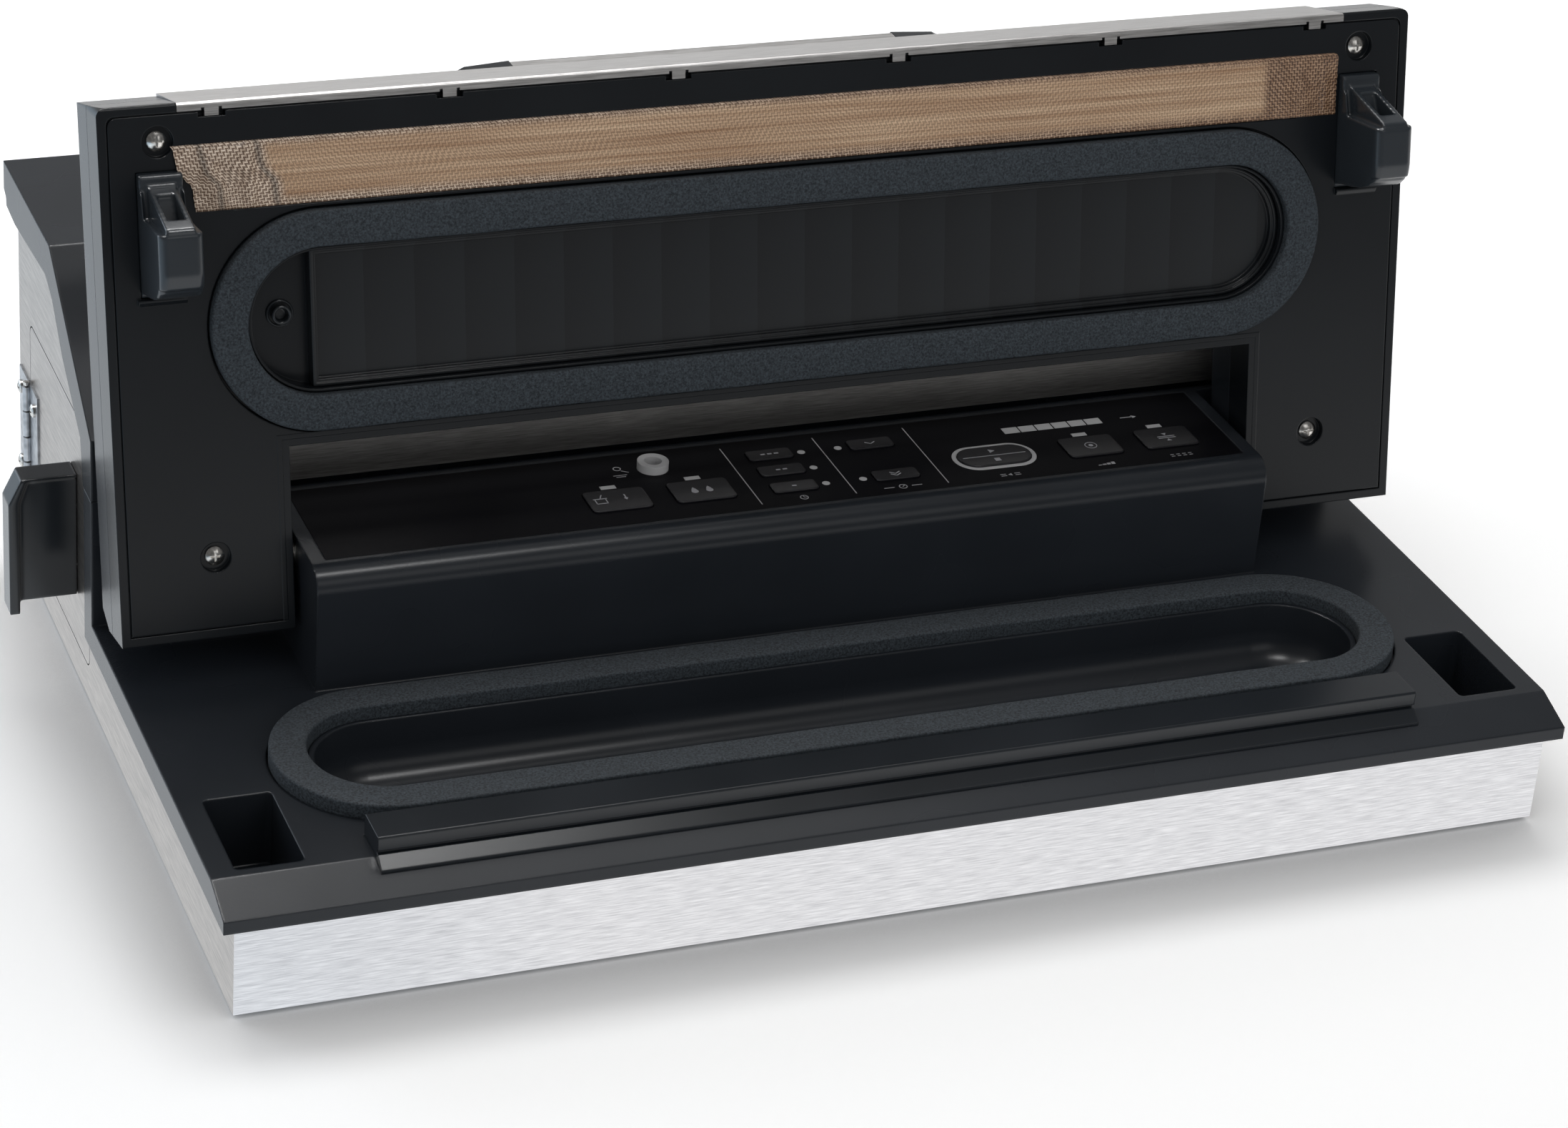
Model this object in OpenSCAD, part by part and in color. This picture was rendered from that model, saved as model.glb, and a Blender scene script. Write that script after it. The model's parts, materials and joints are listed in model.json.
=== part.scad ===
// Vacuum sealer with an open lid, a roll compartment and a carry handle.
// Millimetres, +Z up. Origin: centre of the whole outline, on the table.
// Inside the modules the machine's own axes are used: X 0 on the centre plane,
// Y 0 on the front steel face, Z 0 on the lower edge of the steel.

/* [Body] */
// Width over the steel sides
body_w = 480.6; // [440:0.2:520]
// Depth of the roll housing behind the deck
box_len = 138; // [130:0.5:170]
// Overhang of the top casing over the steel, all round the front half
lip = 4.7; // [3:0.1:6]
// Height of the flat deck above the steel's lower edge
deck_z = 45.2; // [42:0.2:56]
// Height of the roll housing's flat top
box_top = 163.5; // [155:0.5:180]
// Thickness of the steel sheets
sheet = 1.2; // [0.8:0.1:1.5]
// General plastic wall thickness
wall = 3; // [2:0.1:4]
// Height of the rubber feet under the steel
foot_h = 2; // [1.5:0.1:8]

/* [Control housing] */
// Room beside the control housing for each lid leg
ctl_side = 59.1; // [50:0.1:75]
// Depth of the control housing
ctl_len = 62.3; // [60:0.1:64]
// Height of the control housing's top
ctl_z = 91; // [89:0.1:91.5]
// Radius along the control housing's front edge
ctl_r = 8; // [5:0.5:10]
// Thickness of the printed overlay
label_t = 0.6; // [0.4:0.1:0.8]
// How far a key can be pressed
key_travel = 0.8; // [0.4:0.1:0.9]
// How far the keys stand above the overlay
key_rise = 0.6; // [0.4:0.1:1.2]

/* [Seal and chamber] */
// Width of the foam band
foam_w = 12.8; // [9:0.2:14]
// Top of the lower foam above the deck
foam_rise = 5.3; // [3:0.1:5.4]
// How far the upper foam stands out of the lid
foam_out = 3; // [1:0.1:3.2]
// Depth of the liquid trough below the deck
trough_deep = 22; // [15:0.5:26]
// Top of the seal rubber above the deck
rail_rise = 8.3; // [6:0.1:8.5]
// Front edge of the seal rubber's top
rail_y = 9.8; // [9:0.1:11]
// Width of the seal rubber's top
rail_w = 15.7; // [12:0.1:16]

/* [Lid] */
// Lid length from its hinge end to its front edge
lid_len = 187.1; // [175:0.1:210]
// How far the lid stays inside the casing's sides
lid_in = 0.6; // [0.4:0.1:4]
// Lid thickness
lid_t = 29; // [26:0.5:30]
// How far the plastic of the lid's front end falls back towards its outer face
end_drop = 3.3; // [1:0.1:4]
// How far the steel of the lid's front end falls back towards its outer face
cover_drop = 2.3; // [0.8:0.1:3]
// Radius of the lid's two front corners
lid_r = 3; // [1:0.1:6]
// Height of the steel's folded lip on the lid's inner face
lip_h = 2.9; // [2:0.1:3.4]
// How far the open lid leans back past upright
lid_lean = 11.2; // [8:0.1:11.5]
// Hinge axis height
hinge_z = 75.5; // [75:0.1:78]
// Hinge axis from the lid's hinge end
hinge_s = 19; // [18:0.1:19.5]
// Hinge axis behind the lid's inner face
hinge_d = 21.2; // [20:0.1:21.5]
// Hinge pin radius
pin_r = 4; // [3:0.1:5]
// Hook reach out of the lid
hook_out = 30; // [24:0.5:31]

/* [Handles and door] */
// Reach of the door pull from the steel side
pull_reach = 24.7; // [16:0.1:30]
// Thickness of the door pull, front to back
pull_d = 11.5; // [9:0.1:13]
// Half width of the carry handle's steel grip
grip_half = 74.6; // [60:0.2:90]
// Half width of the whole carry handle
handle_half = 96; // [90:0.5:110]
// Height of the carry handle above the housing top
handle_h = 50; // [42:0.5:60]
// Depth of the carry handle
grip_d = 24; // [18:0.5:30]
// Width of the side door
door_w = 95.5; // [80:0.5:100]
// Lower edge of the door
door_z = 13; // [10:0.5:20]
// Upper edge of the door
door_z2 = 107; // [95:0.5:108]

/* [Hidden] */
$fn = 48;
eps = 0.01;
hw = body_w / 2;
hwl = hw + lip;
box_y = lid_len - 7.1;
body_d = box_y + box_len;
ctl_y = box_y - ctl_len;
hinge_y = box_y - 20;
door_y2 = body_d - 18;
door_y = door_y2 - door_w;
grip_y = box_y + 75 - grip_d;
pull_y = door_y + 29.3;
rear = body_d + 1.7;
mid_x = (pull_reach - lip) / 2;
mid_y = -(rear - lip) / 2;
skirt_z = deck_z - 5;
lid_y = hinge_y - hinge_s * sin(lid_lean) - hinge_d * cos(lid_lean);
lid_z = hinge_z - hinge_s * cos(lid_lean) + hinge_d * sin(lid_lean);
shut_k = hinge_y + hinge_s;
notch_s = shut_k - ctl_y + 4.2;
seal_s = (lid_len + notch_s - 34.6) / 2;
seal_r = (lid_len - notch_s - 44.4) / 2;
seal_y = shut_k - seal_s;
foam_half = hw - 31;
rail_half = hw - 50;
sock_x1 = hw - 27.6;
sock_x2 = hw - 4.2;
sock_y1 = 15.6;
sock_y2 = 58.7;
hook_x = hw - 15.9;
ctl_h = hw - ctl_side;
notch_h = ctl_h + 2.3;
lid_h = hwl - lid_in;
lid_w = 2 * lid_h;
box_b = box_top - 45.5;
slope_t = tan(35.6);
slope_c = 1 / cos(35.6);
cheek_x = hw - 23.3;
slot_z = ctl_z + 6.8;
label_h = ctl_h - 5.5;
label_y = ctl_y + 10;
top_in = ctl_z - label_t - 3;
cover_x = lid_h - 26.8;
tape_s = lid_len - 25.9;
heat_h = hw - 41.1;
tray_lip = 2.2;

// how far the panel's layout spreads with the housing's width
spread = label_h / 175.7;
// keys: centre x, y behind the housing front, width, height, corner radius
KEYS = [for (k = [
  [-63.7, 27.9, 22.6, 14.8, 1.8], [-32.0, 27.9, 22.6, 14.8, 1.8],
  [1.7, 48.5, 17.2, 7.1, 1.4], [1.7, 36.1, 17.2, 7.1, 1.4], [1.7, 23.2, 17.2, 7.1, 1.4],
  [41.3, 48.4, 17.2, 7.1, 1.4], [41.3, 23.5, 17.2, 7.1, 1.4],
  [82.6, 28.6, 28.6, 14.0, 6.9],
  [121.3, 27.8, 21.6, 14.6, 1.8], [152.3, 27.8, 21.6, 14.6, 1.8]
]) [spread * k[0], ctl_y + k[1], k[2], k[3], k[4]]];
BARS = [for (p = [[-64, 38.1], [-32, 38.1], [121.1, 37.9], [151.9, 37.9]]) [spread * p[0], ctl_y + p[1]]];
DOTS = [for (p = [[14.1, 48.2], [14.1, 35.8], [14.1, 23.3], [28.5, 48.2], [28.5, 23.3]])
  [spread * p[0], ctl_y + p[1]]];
PORT = [-43.3 * spread, ctl_y + 48.7];
CASE_POSTS = [[hw - 14, seal_y + 15], [hw - 14, box_y - 14], [90, 34]];
FEET = [[hw - 26, 22], [hw - 26, body_d - 22]];

module place() translate([mid_x, mid_y, foot_h]) children();
module on_lid() place() translate([0, lid_y, lid_z]) rotate([90 - lid_lean, 0, 0]) children();
module both() for (m = [0, 1]) mirror([m, 0, 0]) children();
module xslab(x1, x2) translate([x1, 0, 0]) rotate([90, 0, 90]) linear_extrude(x2 - x1) children();
module slab(z1, z2) translate([0, 0, z1]) linear_extrude(z2 - z1) children();
module bar(a, b) translate(a) cube([b[0] - a[0], b[1] - a[1], b[2] - a[2]]);
module xcyl(x1, x2, y, z, r) translate([x1, y, z]) rotate([0, 90, 0]) cylinder(r = r, h = x2 - x1);

module rrect(x, y, r) {
  square([x - 2 * r, y], center = true);
  square([x, y - 2 * r], center = true);
  for (i = [-1, 1], j = [-1, 1]) translate([i * (x / 2 - r), j * (y / 2 - r)]) circle(r);
}

module stadium(hl, hr) {
  square([2 * (hl - hr), 2 * hr], center = true);
  for (m = [-1, 1]) translate([m * (hl - hr), 0]) circle(hr, $fn = 96);
}

module ring(hl, hr, w) difference() {
  stadium(hl, hr);
  stadium(hl - w, hr - w);
}

// roll housing side profile, set in by o
function prof(o, low) = [
  [box_y + o, low], [box_y + o, box_b - 0.5137 * o],
  [box_y + (45.5 + 0.23 * o) / slope_t, box_top - o], [rear, box_top - o], [rear, low]];

// cross section of the trough, half of it
module trough_2d(r, h, f) intersection() {
  square([r, h]);
  union() {
    translate([0, f]) square([r, h - f]);
    square([r - f, f + eps]);
    translate([r - f, f]) circle(f);
  }
}

module trough_solid(hl, hr, z1, f, h) translate([0, seal_y, z1]) {
  for (m = [-1, 1]) translate([m * (hl - hr), 0, 0])
    rotate_extrude($fn = 96) trough_2d(hr, h, f);
  xslab(-(hl - hr), hl - hr) {
    trough_2d(hr, h, f);
    mirror([1, 0]) trough_2d(hr, h, f);
  }
}

module rail_2d() polygon([
  [rail_y + rail_w, deck_z - 3.7], [rail_y + rail_w, deck_z + rail_rise - 0.6],
  [rail_y + rail_w - 0.6, deck_z + rail_rise], [rail_y + 0.6, deck_z + rail_rise],
  [rail_y, deck_z + rail_rise - 0.6], [rail_y, deck_z + 3.3], [rail_y + 1.3, deck_z + 2.8],
  [rail_y + 1.3, deck_z + 2.1], [rail_y - 0.2, deck_z + 1.9], [rail_y - 4.6, deck_z - 1.3],
  [rail_y - 4.6, deck_z - 3], [rail_y - 1.3, deck_z - 3.7]]);

module pan_screw(r, h, l) {
  difference() {
    intersection() {
      cylinder(r = r, h = h);
      translate([0, 0, h - 1.7 * r]) sphere(1.7 * r);
    }
    translate([0, 0, h]) {
      cube([r * 1.1, 0.22 * r, h], center = true);
      cube([0.22 * r, r * 1.1, h], center = true);
    }
  }
  translate([0, 0, -l]) cylinder(r = r * 0.45, h = l + eps);
}

// ---- base ----
module bottom_plate() place() color([0.62, 0.63, 0.65]) difference() {
  bar([-hw + sheet + 0.2, sheet + 0.2, 0], [hw - sheet - 0.2, body_d - sheet - 0.2, 1.5]);
  both() for (p = concat(CASE_POSTS, FEET)) translate([p[0], p[1], -1]) cylinder(r = 1.8, h = 4);
  for (i = [-5:5]) translate([i * 14, box_y + 55, -1]) slab(0, 4) rrect(4, 50, 1.9);
}

module wrap_side() polygon([
  [0, 0], [body_d, 0], [body_d, box_top - 13.5], [box_y + 70, box_top - 10.5], [box_y + 58, box_top - 15.5],
  [box_y + 42, box_top - 30], [box_y + 14, box_b - 3], [box_y + 9, box_b - 22],
  [box_y + wall + 0.2, box_b - 23.4], [box_y + wall + 0.2, skirt_z], [0, skirt_z]]);

module steel_wrap() place() color([0.78, 0.79, 0.8]) difference() {
  union() {
    bar([-hw, 0, 0], [hw, sheet, skirt_z]);
    xslab(-hw, -hw + sheet) wrap_side();
    xslab(hw - sheet, hw) wrap_side();
  }
  // door opening and the hinge leaf's screw holes
  translate([-hw - 1, (door_y + door_y2) / 2, (door_z + door_z2) / 2]) rotate([90, 0, 90])
    linear_extrude(3) rrect(door_y2 - door_y, door_z2 - door_z, 4.6);
  for (z = [44, 75]) xcyl(-hw - 1, -hw + 3, door_y2 + 12, z, 1.3);
}

module rear_panel() place() color([0.74, 0.75, 0.77]) difference() {
  bar([-hw + sheet + 0.1, body_d - sheet, 0], [hw - sheet - 0.1, body_d, box_top - 8.3]);
  for (i = [0:8], s = [-1, 1]) translate([s * (80 + i * 12), body_d, 60])
    rotate([90, 0, 0]) linear_extrude(4, center = true) rrect(4, 34, 1.9);
}

module rubber_feet() place() color([0.12, 0.12, 0.13]) both() for (p = FEET)
  translate([p[0], p[1], -foot_h]) difference() {
    cylinder(r1 = 8.6, r2 = 9.5, h = foot_h);
    translate([0, 0, -eps]) cylinder(r = 4, h = foot_h * 0.6 + eps);
    cylinder(r = 1.8, h = foot_h + 1);
  }

module base_screws() place() color([0.7, 0.7, 0.72]) {
  both() for (p = CASE_POSTS) translate([p[0], p[1], 0]) mirror([0, 0, 1]) pan_screw(3.2, 1.4, 10);
  both() for (p = FEET) translate([p[0], p[1], -foot_h * 0.4]) {
    mirror([0, 0, 1]) cylinder(r = 3.2, h = foot_h * 0.2);
    cylinder(r = 1.6, h = 4 + foot_h * 0.4);
    translate([0, 0, 1.5 + foot_h * 0.4]) cylinder(r = 3, h = 2);
  }
}

module ctl_2d(o, y2, low) {
  r = ctl_r - o;
  square_y = ctl_y + o + r;
  translate([square_y, low]) square([y2 - square_y, ctl_z - o - low]);
  translate([ctl_y + o, low]) square([r + eps, ctl_z - o - r - low]);
  translate([square_y, ctl_z - o - r]) circle(r);
}

module socket_2d(o) translate([(sock_x1 + sock_x2) / 2, (sock_y1 + sock_y2) / 2])
  rrect(sock_x2 - sock_x1 + 2 * o, sock_y2 - sock_y1 + 2 * o, 2 + o);

module key_2d(k, o) translate([k[0], k[1]]) rrect(k[2] + 2 * o, k[3] + 2 * o, k[4] + o);

module top_casing() place() color([0.13, 0.14, 0.15]) difference() {
  union() {
    difference() {
      union() {
        xslab(-hwl, hwl) polygon([[-lip, skirt_z - 5.5], [-lip, deck_z - 5.7], [12, deck_z],
          [box_y + wall, deck_z], [box_y + wall, skirt_z - 5.5]]);
        xslab(-hwl, hwl) translate([box_y, skirt_z]) square([wall, box_b - 23.4 - skirt_z]);
        both() bar([hw + 0.1, box_y, skirt_z - 5.5], [hwl, box_y + 11.5, box_b - 23.4]);
        xslab(-ctl_h, ctl_h) ctl_2d(0, box_y + eps, skirt_z);
      }
      bar([-hw - 0.1, -0.05, 0], [hw + 0.1, box_y + wall + 1, skirt_z]);
      xslab(-ctl_h + wall, ctl_h - wall) ctl_2d(wall + label_t, box_y, 10);
      bar([-cheek_x, box_y - 1, ctl_z], [cheek_x, box_y + wall + 1, ctl_z + 8]);
    }
    both() slab(sock_y1, skirt_z + 1) socket_2d(1.8);
    trough_solid(foam_half - foam_w - 0.5, seal_r - foam_w + 0.3, deck_z - trough_deep - 2, 13,
      trough_deep - 2.6);
    both() for (p = CASE_POSTS) translate([p[0], p[1], 1.5]) cylinder(r = 4.5, h = skirt_z - 1);
    both() xcyl(ctl_h - wall - 9, ctl_h - wall + eps, hinge_y, hinge_z, pin_r + 4);
    for (x = [-150, -95, 0, 64, 102, 137]) translate([x * spread, ctl_y + 30.3, top_in - 3.5])
      cylinder(r = 2.6, h = 4);
    // walls of the hose port's seat
    translate([PORT[0], PORT[1], top_in - 6]) cylinder(r = 7, h = 7);
  }
  both() slab(sock_y1 + 2, deck_z + 1) socket_2d(0);
  both() bar([hook_x - 2.9, sock_y1 - 3, 32], [hook_x + 2.5, sock_y1 + 1, 40]);
  slab(deck_z - 2.7, deck_z + 1) translate([0, seal_y]) ring(foam_half + 0.8, seal_r + 0.8, foam_w + 1.2);
  trough_solid(foam_half - foam_w - 2.6, seal_r - foam_w - 1.8, deck_z - trough_deep, 11,
    trough_deep + 1);
  xslab(-rail_half, rail_half) rail_2d();
  both() for (p = CASE_POSTS) translate([p[0], p[1], 1]) cylinder(r = 1.45, h = 12);
  both() xcyl(ctl_h - wall - 10, ctl_h + 1, hinge_y, hinge_z, pin_r + 0.05);
  // seats of the overlay, the keys, the lights and the hose port
  slab(ctl_z - label_t, ctl_z + 1) translate([0, (label_y + box_y - 0.8) / 2])
    square([2 * label_h, box_y - 0.8 - label_y], center = true);
  for (k = KEYS) {
    slab(ctl_z - label_t - 1.8, ctl_z) key_2d(k, 0.25);
    translate([k[0], k[1], top_in - 1]) cylinder(r = 2.4, h = 5);
  }
  translate([PORT[0], PORT[1], top_in - 5]) cylinder(r = 5.8, h = 12);
  translate([PORT[0], PORT[1], top_in - 8]) cylinder(r = 2.5, h = 12);
}

module lower_gasket() place() color([0.2, 0.21, 0.22])
  slab(deck_z - 2.7, deck_z + foam_rise) translate([0, seal_y]) ring(foam_half, seal_r, foam_w);

module seal_rubber() place() color([0.1, 0.11, 0.12]) xslab(-rail_half, rail_half) rail_2d();

module control_overlay() place() color([0.05, 0.05, 0.06]) difference() {
  slab(ctl_z - label_t, ctl_z) translate([0, (label_y + box_y - 0.8) / 2])
    square([2 * label_h - 0.2, box_y - 1 - label_y], center = true);
  for (k = KEYS) slab(ctl_z - 2, ctl_z + 1) key_2d(k, 0.25);
  lights(0.06, ctl_z - 2, ctl_z + 1);
  slab(ctl_z - 2, ctl_z + 1) start_2d(0.05);
  translate([PORT[0], PORT[1], ctl_z - 2]) cylinder(r = 5.85, h = 4);
}

module start_2d(o) difference() {
  key_2d([KEYS[7][0], KEYS[7][1], 32.4, 18, 8.9], o);
  key_2d(KEYS[7], 0.25);
}

module lights(o, z1, z2) {
  for (p = BARS) slab(z1, z2) translate(p) square([5.8 + 2 * o, 2.4 + 2 * o], center = true);
  for (p = DOTS) translate([p[0], p[1], z1]) cylinder(r = 1.45 + o, h = z2 - z1);
  for (i = [0:5]) slab(z1, z2) translate([(97.2 + i * 6.75) * spread, ctl_y + 46.8])
    square([6.2 + 2 * o, 4.4 + 2 * o], center = true);
}

module key(i) place() color([0.08, 0.08, 0.09]) {
  k = KEYS[i];
  slab(ctl_z - label_t - 0.9, ctl_z + key_rise) key_2d(k, 0);
  translate([k[0], k[1], top_in - 1.1]) cylinder(r = 2, h = 3.4);
}

module canister_key() key(0);
module marinate_key() key(1);
module seal_time_key_1() key(2);
module seal_time_key_2() key(3);
module seal_time_key_3() key(4);
module vacuum_key_1() key(5);
module vacuum_key_2() key(6);
module start_key() key(7);
module manual_key() key(8);
module seal_key() key(9);

module start_ring() place() color([0.75, 0.76, 0.78]) slab(ctl_z - label_t, ctl_z + 0.15) start_2d(0);

module indicator_windows() place() color([0.8, 0.8, 0.82]) lights(0, ctl_z - label_t, ctl_z + 0.05);

module hose_port() place() color([0.8, 0.8, 0.82]) translate([PORT[0], PORT[1], 0]) difference() {
  slab(top_in - 5, ctl_z + 3) circle(5.75);
  slab(top_in - 2, ctl_z + 4) circle(3.2);
  slab(top_in - 6, ctl_z) circle(1.6);
}

module control_board() place() color([0.1, 0.35, 0.2]) {
  difference() {
    bar([10.7 - label_h, ctl_y + 8.3, top_in - 5.1], [label_h - 8.7, ctl_y + 53.3, top_in - 3.5]);
    translate([PORT[0], PORT[1], top_in - 6]) cylinder(r = 8, h = 4);
  }
  for (k = KEYS) translate([k[0], k[1], top_in - 3.6]) cylinder(r = 2.4, h = 1.6);
}

module pump(x) place() translate([x * spread, ctl_y + 30.3, 1.5]) color([0.3, 0.31, 0.33]) {
  bar([-46, -18, 0], [46, 18, 2]);
  bar([-46, -17, 1.9], [-14, 17, 52]);
  difference() {
    bar([-38, -12, 51.9], [-22, 12, 60]);
    bar([-33, -13, 55], [-27, 13, 61]);
  }
  xcyl(-14 - eps, 44, 0, 24, 17);
  bar([12, -15, 1.9], [22, 15, 16]);
}
module pump_left() pump(-112);
module pump_right() pump(-8);

module transformer() place() translate([108 * spread, ctl_y + 30.3, 1.5]) {
  color([0.5, 0.5, 0.52]) bar([-33, -14, 0], [33, 14, 56]);
  color([0.7, 0.5, 0.2]) bar([-20, -25, 4], [20, 25, 48]);
}

module catch_part() place() color([0.65, 0.65, 0.67]) {
  bar([hook_x - 8, 3.4, 30], [hook_x + 6, 7.4, 39.8]);
  bar([hook_x - 2.5, 7.3, 33], [hook_x + 2.1, 19.4, 39]);
}
module catch_left() translate([2 * mid_x, 0, 0]) mirror([1, 0, 0]) catch_part();
module catch_right() catch_part();

// ---- roll housing ----
module rear_cover() place() color([0.14, 0.15, 0.16]) difference() {
  xslab(-hwl, hwl) polygon([[box_y, box_b - 23.2], [box_y, box_b], prof(0, 0)[2], [rear, box_top],
    [rear, box_top - 11], [rear - 3.7, box_top - 13], [rear - 4.2, box_top - 16.1],
    [rear - 19, box_top - 17.3], [box_y + 70.3, box_top - 14], [box_y + 59.3, box_top - 19],
    [box_y + 43.6, box_top - 33.9],
    [box_y + 16.2, box_b - 6.3], [box_y + 12.4, box_b - 23.2]]);
  // hollow of the middle, hollow of the cheeks
  xslab(-cheek_x + 3, cheek_x - 3) polygon(concat([[body_d + 0.1, 20]], [prof(8, 20)[0], prof(8, 0)[1],
    prof(8, 0)[2], [body_d + 0.1, box_top - 8]]));
  both() xslab(cheek_x + 2.6, hw + 0.1) polygon([prof(3, 20)[0], prof(3, 0)[1], prof(3, 0)[2],
    [body_d + 0.1, box_top - 3], [body_d + 0.1, 20]]);
  // lowered middle for the steel inlay
  xslab(-cheek_x, cheek_x) polygon([[box_y - 1, 20], prof(5, 20)[0], prof(5, 0)[1], prof(5, 0)[2],
    [rear - 1.6, box_top - 5], [rear - 1.6, box_top + 1], [box_y - 1, box_top + 1]]);
  bar([-cheek_x, box_y - 1, 60], [cheek_x, box_y + 14, slot_z]);
  // room for the rear panel's top edge
  bar([-hw + sheet, body_d - sheet - 0.1, 60], [hw - sheet, body_d + 0.1, box_top - 8]);
  handle_holes(1.6, box_top - 10, 8);
}

module cover_inlay() place() color([0.75, 0.76, 0.78]) difference() {
  xslab(-cheek_x + 0.3, cheek_x - 0.3) polygon([[box_y + 5, slot_z], prof(5, 0)[1], prof(5, 0)[2],
    [rear - 1.8, box_top - 5], [rear - 1.8, box_top - 4], prof(4, 0)[2], prof(4, 0)[1], [box_y + 4, slot_z]]);
  handle_holes(1.6, box_top - 10, 8);
}

module handle_holes(r, z, h) both() for (x = [4.5, 13.5])
  translate([handle_half - x, grip_y + grip_d - 5.5, z]) cylinder(r = r, h = h);

module handle_ends() place() color([0.12, 0.12, 0.13]) both() difference() {
  // a foot that rises and turns in to the grip
  translate([0, grip_y + grip_d, 0]) rotate([90, 0, 0]) linear_extrude(grip_d) polygon([
    [handle_half - 18, box_top - 24], [handle_half, box_top - 24], [handle_half, box_top + handle_h - 8],
    [handle_half - 1.6, box_top + handle_h - 2.6], [handle_half - 4.6, box_top + handle_h - 1.1],
    [grip_half, box_top + handle_h], [grip_half, box_top + handle_h - 13],
    [handle_half - 11, box_top + handle_h - 15], [handle_half - 15, box_top + handle_h - 20],
    [handle_half - 18, box_top + 4]]);
  // seated on the steel inlay
  xslab(0, handle_half + 1) polygon(prof(4, 20));
  handle_holes(1.4, box_top - 5, 12);
}

module handle_grip() place() color([0.78, 0.79, 0.8]) difference() {
  xslab(-grip_half, grip_half) translate([grip_y + grip_d / 2, box_top + handle_h - 6.5])
    rrect(grip_d, 13, 1.5);
  xslab(-grip_half - 1, grip_half + 1) translate([grip_y + grip_d / 2, box_top + handle_h - 6.5])
    rrect(grip_d - 3, 10, 1);
}

module handle_screws() place() color([0.7, 0.7, 0.72]) both() for (x = [4.5, 13.5])
  translate([handle_half - x, grip_y + grip_d - 5.5, box_top - 8]) mirror([0, 0, 1]) pan_screw(2.8, 1.6, 10);

module roll_tray() place() color([0.16, 0.17, 0.18]) difference() {
  union() {
    bar([-hw + 2.5, door_y - 3.5, door_z - 3], [hw - 42.3, door_y2 + 4, ctl_z + 1]);
    for (x = [40 - hw, -60, 60, hw - 60], y = [door_y + 10, door_y2 - 5]) translate([x, y, 1.5]) cylinder(r = 4, h = door_z - 4);
  }
  bar([-hw, door_y - 1, door_z - 0.5], [hw - 44.8, door_y2 + 1.5, ctl_z + 2]);
  bar([-hw, door_y - 4, ctl_z - 5], [hw - 42, door_y, ctl_z + 2]);
}

// ---- side door ----
module door_2d(o) translate([(door_y + door_y2) / 2, (door_z + door_z2) / 2])
  rrect(door_y2 - door_y - 2 * o, door_z2 - door_z - 2 * o, 4.6 - o);

module side_door() place() color([0.78, 0.79, 0.8]) difference() {
  xslab(-hw, -hw + sheet) door_2d(0.5);
  for (z = [44, 75]) xcyl(-hw - 1, -hw + 3, door_y2 - 9, z, 1.3);
  for (z = [46, 70]) xcyl(-hw - 1, -hw + 3, pull_screw_y, z, 1.05);
}

module door_pull() place() color([0.11, 0.12, 0.13]) difference() {
  translate([0, pull_y, 0]) rotate([90, 0, 0]) linear_extrude(pull_d) polygon([
    [-hw, 34], [-hw, 83.1], [-hw - pull_reach + 4.7, 83.1], [-hw - pull_reach, 73.5],
    [-hw - pull_reach, 29], [-hw - pull_reach + 3.7, 29], [-hw - pull_reach + 3.7, 34]]);
  // shallow step of the front face, and the finger room behind it
  translate([0, pull_y - pull_d + 1.2, 0]) rotate([90, 0, 0]) linear_extrude(2) pull_2d(3.7, 1.1);
  translate([0, pull_y + 1, 0]) rotate([90, 0, 0]) linear_extrude(pull_d - 3.7) pull_2d(3.2, 3);
  for (z = [46, 70]) xcyl(-hw - 8, -hw + 1, pull_screw_y, z, 1.05);
}

pull_screw_y = pull_y - pull_d + 2.95;
module pull_2d(side, top) polygon([[-hw + 1, 28], [-hw + 1, 83.1 - top], [-hw - pull_reach + 3 + side, 83.1 - top],
  [-hw - pull_reach + side, 73.5], [-hw - pull_reach + side, 28]]);

barrel_x = -hw - 1.6;
barrel_r = 1.5;
module knuckle(z1, z2) translate([barrel_x, door_y2 - 0.2, z1]) difference() {
  cylinder(r = barrel_r, h = z2 - z1);
  translate([0, 0, -1]) cylinder(r = 0.75, h = z2 - z1 + 2);
}

module door_leaf() place() color([0.7, 0.71, 0.73]) {
  difference() {
    bar([-hw - 0.7, door_y2 - 14, 39.5], [-hw, door_y2 - 2, 82.2]);
    for (z = [44, 75]) xcyl(-hw - 1, -hw + 3, door_y2 - 9, z, 1.3);
  }
  for (z = [50.3, 71.3]) {
    knuckle(z, z + 9.6);
    bar([-hw - 0.7, door_y2 - 2.1, z], [-hw - 0.1, door_y2 - 0.7, z + 9.6]);
  }
}

module body_leaf() place() color([0.7, 0.71, 0.73]) {
  difference() {
    bar([-hw - 0.7, door_y2 + 1.7, 39.5], [-hw, door_y2 + 16, 82.2]);
    for (z = [44, 75]) xcyl(-hw - 1, -hw + 3, door_y2 + 12, z, 1.3);
  }
  for (z = [39.5, 60.6]) {
    knuckle(z, z + 10);
    bar([-hw - 0.7, door_y2 + 0.3, z], [-hw - 0.1, door_y2 + 1.8, z + 10]);
  }
}

module door_hinge_pin() place() color([0.75, 0.75, 0.77])
  translate([barrel_x, door_y2 - 0.2, 38.6]) {
    cylinder(r = 0.7, h = 44.4);
    cylinder(r = 1.2, h = 0.8);
    translate([0, 0, 43.2]) cylinder(r = 1.2, h = 1);
  }

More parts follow.
